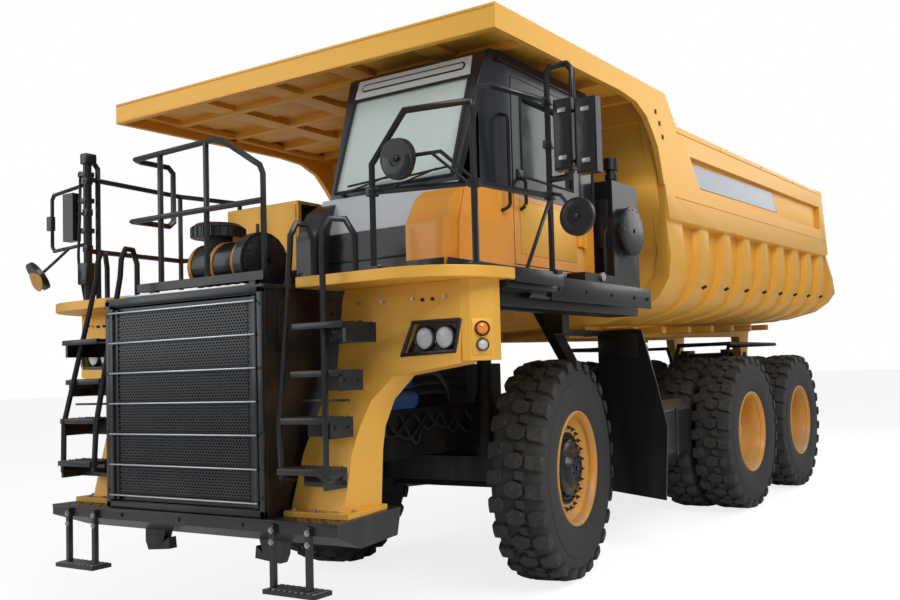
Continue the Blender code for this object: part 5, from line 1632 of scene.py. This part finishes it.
    def chassis(self) -> None:
        """Bolts, brackets and lines along the frame rails, and tank straps."""
        detail = Shape()
        for side in (1, -1):
            for index in range(14):
                y = -1.6 + index * 0.58
                detail.bolts([(side * 0.381, y, 1.42), (side * 0.381, y, 1.18)], (side, 0, 0), 0.013, 0.012)
            for z in (1.33, 1.37, 1.41):
                detail.rod((side * 0.395, 3.1, z), (side * 0.395, 6.6, z), 0.011, 8)
            for y in (1.75, 2.55):
                low, high = span(side, 1.216, 1.229)
                detail.box((low, y - 0.03, 0.79), (high, y + 0.03, 1.30), 0.003)
                low, high = (1.05, 1.112) if side > 0 else (-1.232, -1.05)
                detail.box((low, y - 0.03, 0.688), (high, y + 0.03, 0.70), 0.002)
            detail.rod((side * 1.0, 1.8, 1.40), (side * 1.0, 1.8, 1.47), 0.07, 24)
        add(detail, "chassis_fittings", Finish.FRAME)
        flaps = Shape()
        for side in (1, -1):
            flaps.bolts(
                [(side * x, 1.24, z) for x in (1.05, 1.25) for z in (2.02, 1.9)], (0, -1, 0), 0.012, 0.01,
            )
            low, high = span(side, 1.0, 1.42)
            flaps.box((low, 1.228, 1.86), (high, 1.241, 2.09), 0.003)
        add(flaps, "mudflap_clamps", Finish.BLACK)

    def build(self) -> None:
        """Builds the machinery's detail."""
        self.cleaner()
        self.cabinet()
        self.tank()
        self.below()
        self.chassis()


@dataclass
class Seat:
    """The driver's seat: crowned cushions with sewn channels on a boxed base."""

    truck: Truck
    seam_width: float = 0.045
    seam_depth: float = 0.012

    def cushion(
        self, name: str, low: Point, high: Point, top: int, channels: int, turn: float,
    ) -> bpy.types.Object:
        """One padded piece.

        Args:
            name: the piece's name.
            low: its lower corner before it leans.
            high: its upper corner before it leans.
            top: the axis that its crowned face looks along.
            channels: how many sewn channels cross it.
            turn: how far it leans back about X, in radians.

        Returns:
            The cushion.
        """
        shape = Shape()
        bmesh.ops.create_cube(shape.bm, size=2)
        bmesh.ops.subdivide_edges(shape.bm, edges=shape.bm.edges[:], cuts=30, use_grid_fill=True)
        middle = Vector([(a + b) / 2 for a, b in zip(low, high)])
        half = [(b - a) / 2 for a, b in zip(low, high)]
        lean = Matrix.Rotation(turn, 3, "X")
        for vert in shape.bm.verts:
            x, y, z = vert.co
            round_x = x * math.sqrt(max(0.0, 1 - y * y * 0.22 - z * z * 0.30 + y * y * z * z * 0.14))
            round_y = y * math.sqrt(max(0.0, 1 - x * x * 0.22 - z * z * 0.30 + x * x * z * z * 0.14))
            round_z = z * math.sqrt(max(0.0, 1 - x * x * 0.30 - y * y * 0.30 + x * x * y * y * 0.16))
            place = Vector((round_x * half[0], round_y * half[1], round_z * half[2]))
            for index in range(channels):
                seam = -0.55 + 1.1 * index / max(1, channels - 1)
                dip = self.seam_depth * math.exp(-(((x - seam) / self.seam_width) ** 2))
                place[top] -= math.copysign(dip, vert.co[top]) * (1 if abs(vert.co[top]) > 0.9 else 0)
            vert.co = middle + lean @ place
        return add(shape, name, Finish.CLOTH, angle=80)

    def build(self) -> None:
        """Builds the seat in place of its frame node."""
        base = Shape().box((0.91, -1.04, 2.475), (1.29, -0.57, 2.74), 0.02)
        base.box((0.88, -1.06, 2.74), (1.32, -0.56, 2.775), 0.012)
        for z in (2.53, 2.58, 2.63, 2.68):
            base.box((0.905, -1.045, z), (1.295, -0.565, z + 0.02), 0.006)
        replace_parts(add(base, "seat_base", Finish.PLASTIC), "seat")
        self.cushion("seat_cushion", (0.852, -1.148, 2.765), (1.348, -0.585, 2.928), 2, 4, -0.03)
        self.cushion("seat_back", (0.862, -0.690, 2.88), (1.338, -0.560, 3.56), 1, 4, -0.14)
        self.cushion("head_rest", (0.975, -0.570, 3.53), (1.225, -0.475, 3.735), 1, 0, -0.10)
        posts = Shape().rod(
            (1.03, -0.53, 3.45), (1.03, -0.52, 3.60), 0.008, 10,
        ).rod((1.17, -0.53, 3.45), (1.17, -0.52, 3.60), 0.008, 10)
        posts.pipe([(0.84, -1.02, 2.80), (0.84, -1.12, 2.82), (0.84, -1.16, 2.88)], 0.008, 8)
        add(posts, "seat_posts", Finish.STEEL)


ASSEMBLIES = (Dressing, Wheels, Nose, Lamps, Cab, Access, Hopper, Machinery, Seat)


# ---------------------------------------------------------------- studio
@dataclass
class Studio:
    """Camera, lamps, floor and background."""

    eye: tuple[float, float, float] = (5.2526, -8.75, 1.7918)
    yaw: float = 0.5063
    pitch: float = 0.0451
    roll: float = -0.0337
    lens: float = 36.108
    shift: tuple[float, float] = (-0.1562, 0.0282)

    def place_camera(self) -> None:
        """Sets the camera low by the left front corner."""
        data = bpy.data.cameras.new("camera")
        data.lens = self.lens
        data.shift_x, data.shift_y = self.shift
        data.clip_end = 300
        camera = bpy.data.objects.new("camera", data)
        bpy.context.scene.collection.objects.link(camera)
        flat = math.cos(self.pitch)
        ahead = Vector((-math.sin(self.yaw) * flat, math.cos(self.yaw) * flat, math.sin(self.pitch)))
        right = Vector((math.cos(self.yaw), math.sin(self.yaw), 0))
        up = right.cross(ahead)
        across = right * math.cos(self.roll) + up * math.sin(self.roll)
        over = up * math.cos(self.roll) - right * math.sin(self.roll)
        turn = Matrix((across, over, -ahead)).transposed().to_4x4()
        camera.matrix_world = Matrix.Translation(self.eye) @ turn
        bpy.context.scene.camera = camera

    def lamp(self, name: str, place: Point, size: float, power: float, colour: Point = (1, 1, 1)) -> None:
        """Adds a soft square lamp that faces the truck's middle."""
        data = bpy.data.lights.new(name, "AREA")
        data.size = size
        data.energy = power
        data.color = colour
        made = bpy.data.objects.new(name, data)
        made.location = place
        made.rotation_euler = (Vector((0, -1.0, 1.8)) - Vector(place)).to_track_quat("-Z", "Y").to_euler()
        bpy.context.scene.collection.objects.link(made)

    def light(self) -> None:
        """Sets the lamps and a pale sky that shows white."""
        self.lamp("key", (9, -7, 10), 7, 1000, (1.0, 0.98, 0.95))
        self.lamp("fill", (-8, -11, 6), 8, 330, (0.95, 0.98, 1.0))
        self.lamp("rear", (6, 10, 8), 7, 350)
        world = bpy.data.worlds.new("sky")
        bpy.context.scene.world = world
        world.use_nodes = True
        nodes, links = world.node_tree.nodes, world.node_tree.links
        nodes.clear()
        path = nodes.new("ShaderNodeLightPath")
        seen = nodes.new("ShaderNodeMath")
        seen.operation = "MAXIMUM"
        links.new(path.outputs["Is Camera Ray"], seen.inputs[0])
        links.new(path.outputs["Is Transmission Ray"], seen.inputs[1])
        lit, white, mix, out = (
            nodes.new(kind)
            for kind in (
                "ShaderNodeBackground",
                "ShaderNodeBackground",
                "ShaderNodeMixShader",
                "ShaderNodeOutputWorld",
            )
        )
        lit.inputs["Strength"].default_value = 0.36
        lit.inputs["Color"].default_value = (0.90, 0.95, 1.0, 1)
        white.inputs["Color"].default_value = (1, 1, 1, 1)
        links.new(seen.outputs[0], mix.inputs[0])
        links.new(lit.outputs[0], mix.inputs[1])
        links.new(white.outputs[0], mix.inputs[2])
        links.new(mix.outputs[0], out.inputs[0])

    def floor(self) -> None:
        """Lays a pale floor that keeps the truck's shadow."""
        bm = bmesh.new()
        bmesh.ops.create_grid(bm, x_segments=1, y_segments=1, size=120)
        bmesh.ops.translate(bm, vec=(0, 0, -0.002), verts=bm.verts)
        data = bpy.data.meshes.new("floor")
        bm.to_mesh(data)
        bm.free()
        made = bpy.data.objects.new("floor", data)
        tree = Tree("pale_floor")
        matt = tree.node("ShaderNodeBsdfDiffuse", values={"Color": (0.9, 0.9, 0.9)})
        glow = tree.node("ShaderNodeEmission", values={"Color": (1, 1, 1), "Strength": 1.3})
        seen = tree.node("ShaderNodeLightPath", out="Is Camera Ray")
        shown = tree.node("ShaderNodeMixShader", values={0: seen * 0.62, 1: matt, 2: glow})
        tree.node("ShaderNodeOutputMaterial", values={"Surface": shown})
        data.materials.append(tree.material)
        bpy.context.scene.collection.objects.link(made)

    def build(self) -> None:
        """Sets up everything round the truck."""
        self.place_camera()
        self.light()
        self.floor()
        bpy.context.scene.view_settings.view_transform = "Standard"


def main() -> None:
    """Builds the truck's looks."""
    logging.basicConfig(level=logging.INFO, format="%(name)s %(message)s")
    truck = Truck()
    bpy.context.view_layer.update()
    for assembly in ASSEMBLIES:
        assembly(truck).build()
    Studio().build()


if __name__ == "__main__":
    main()
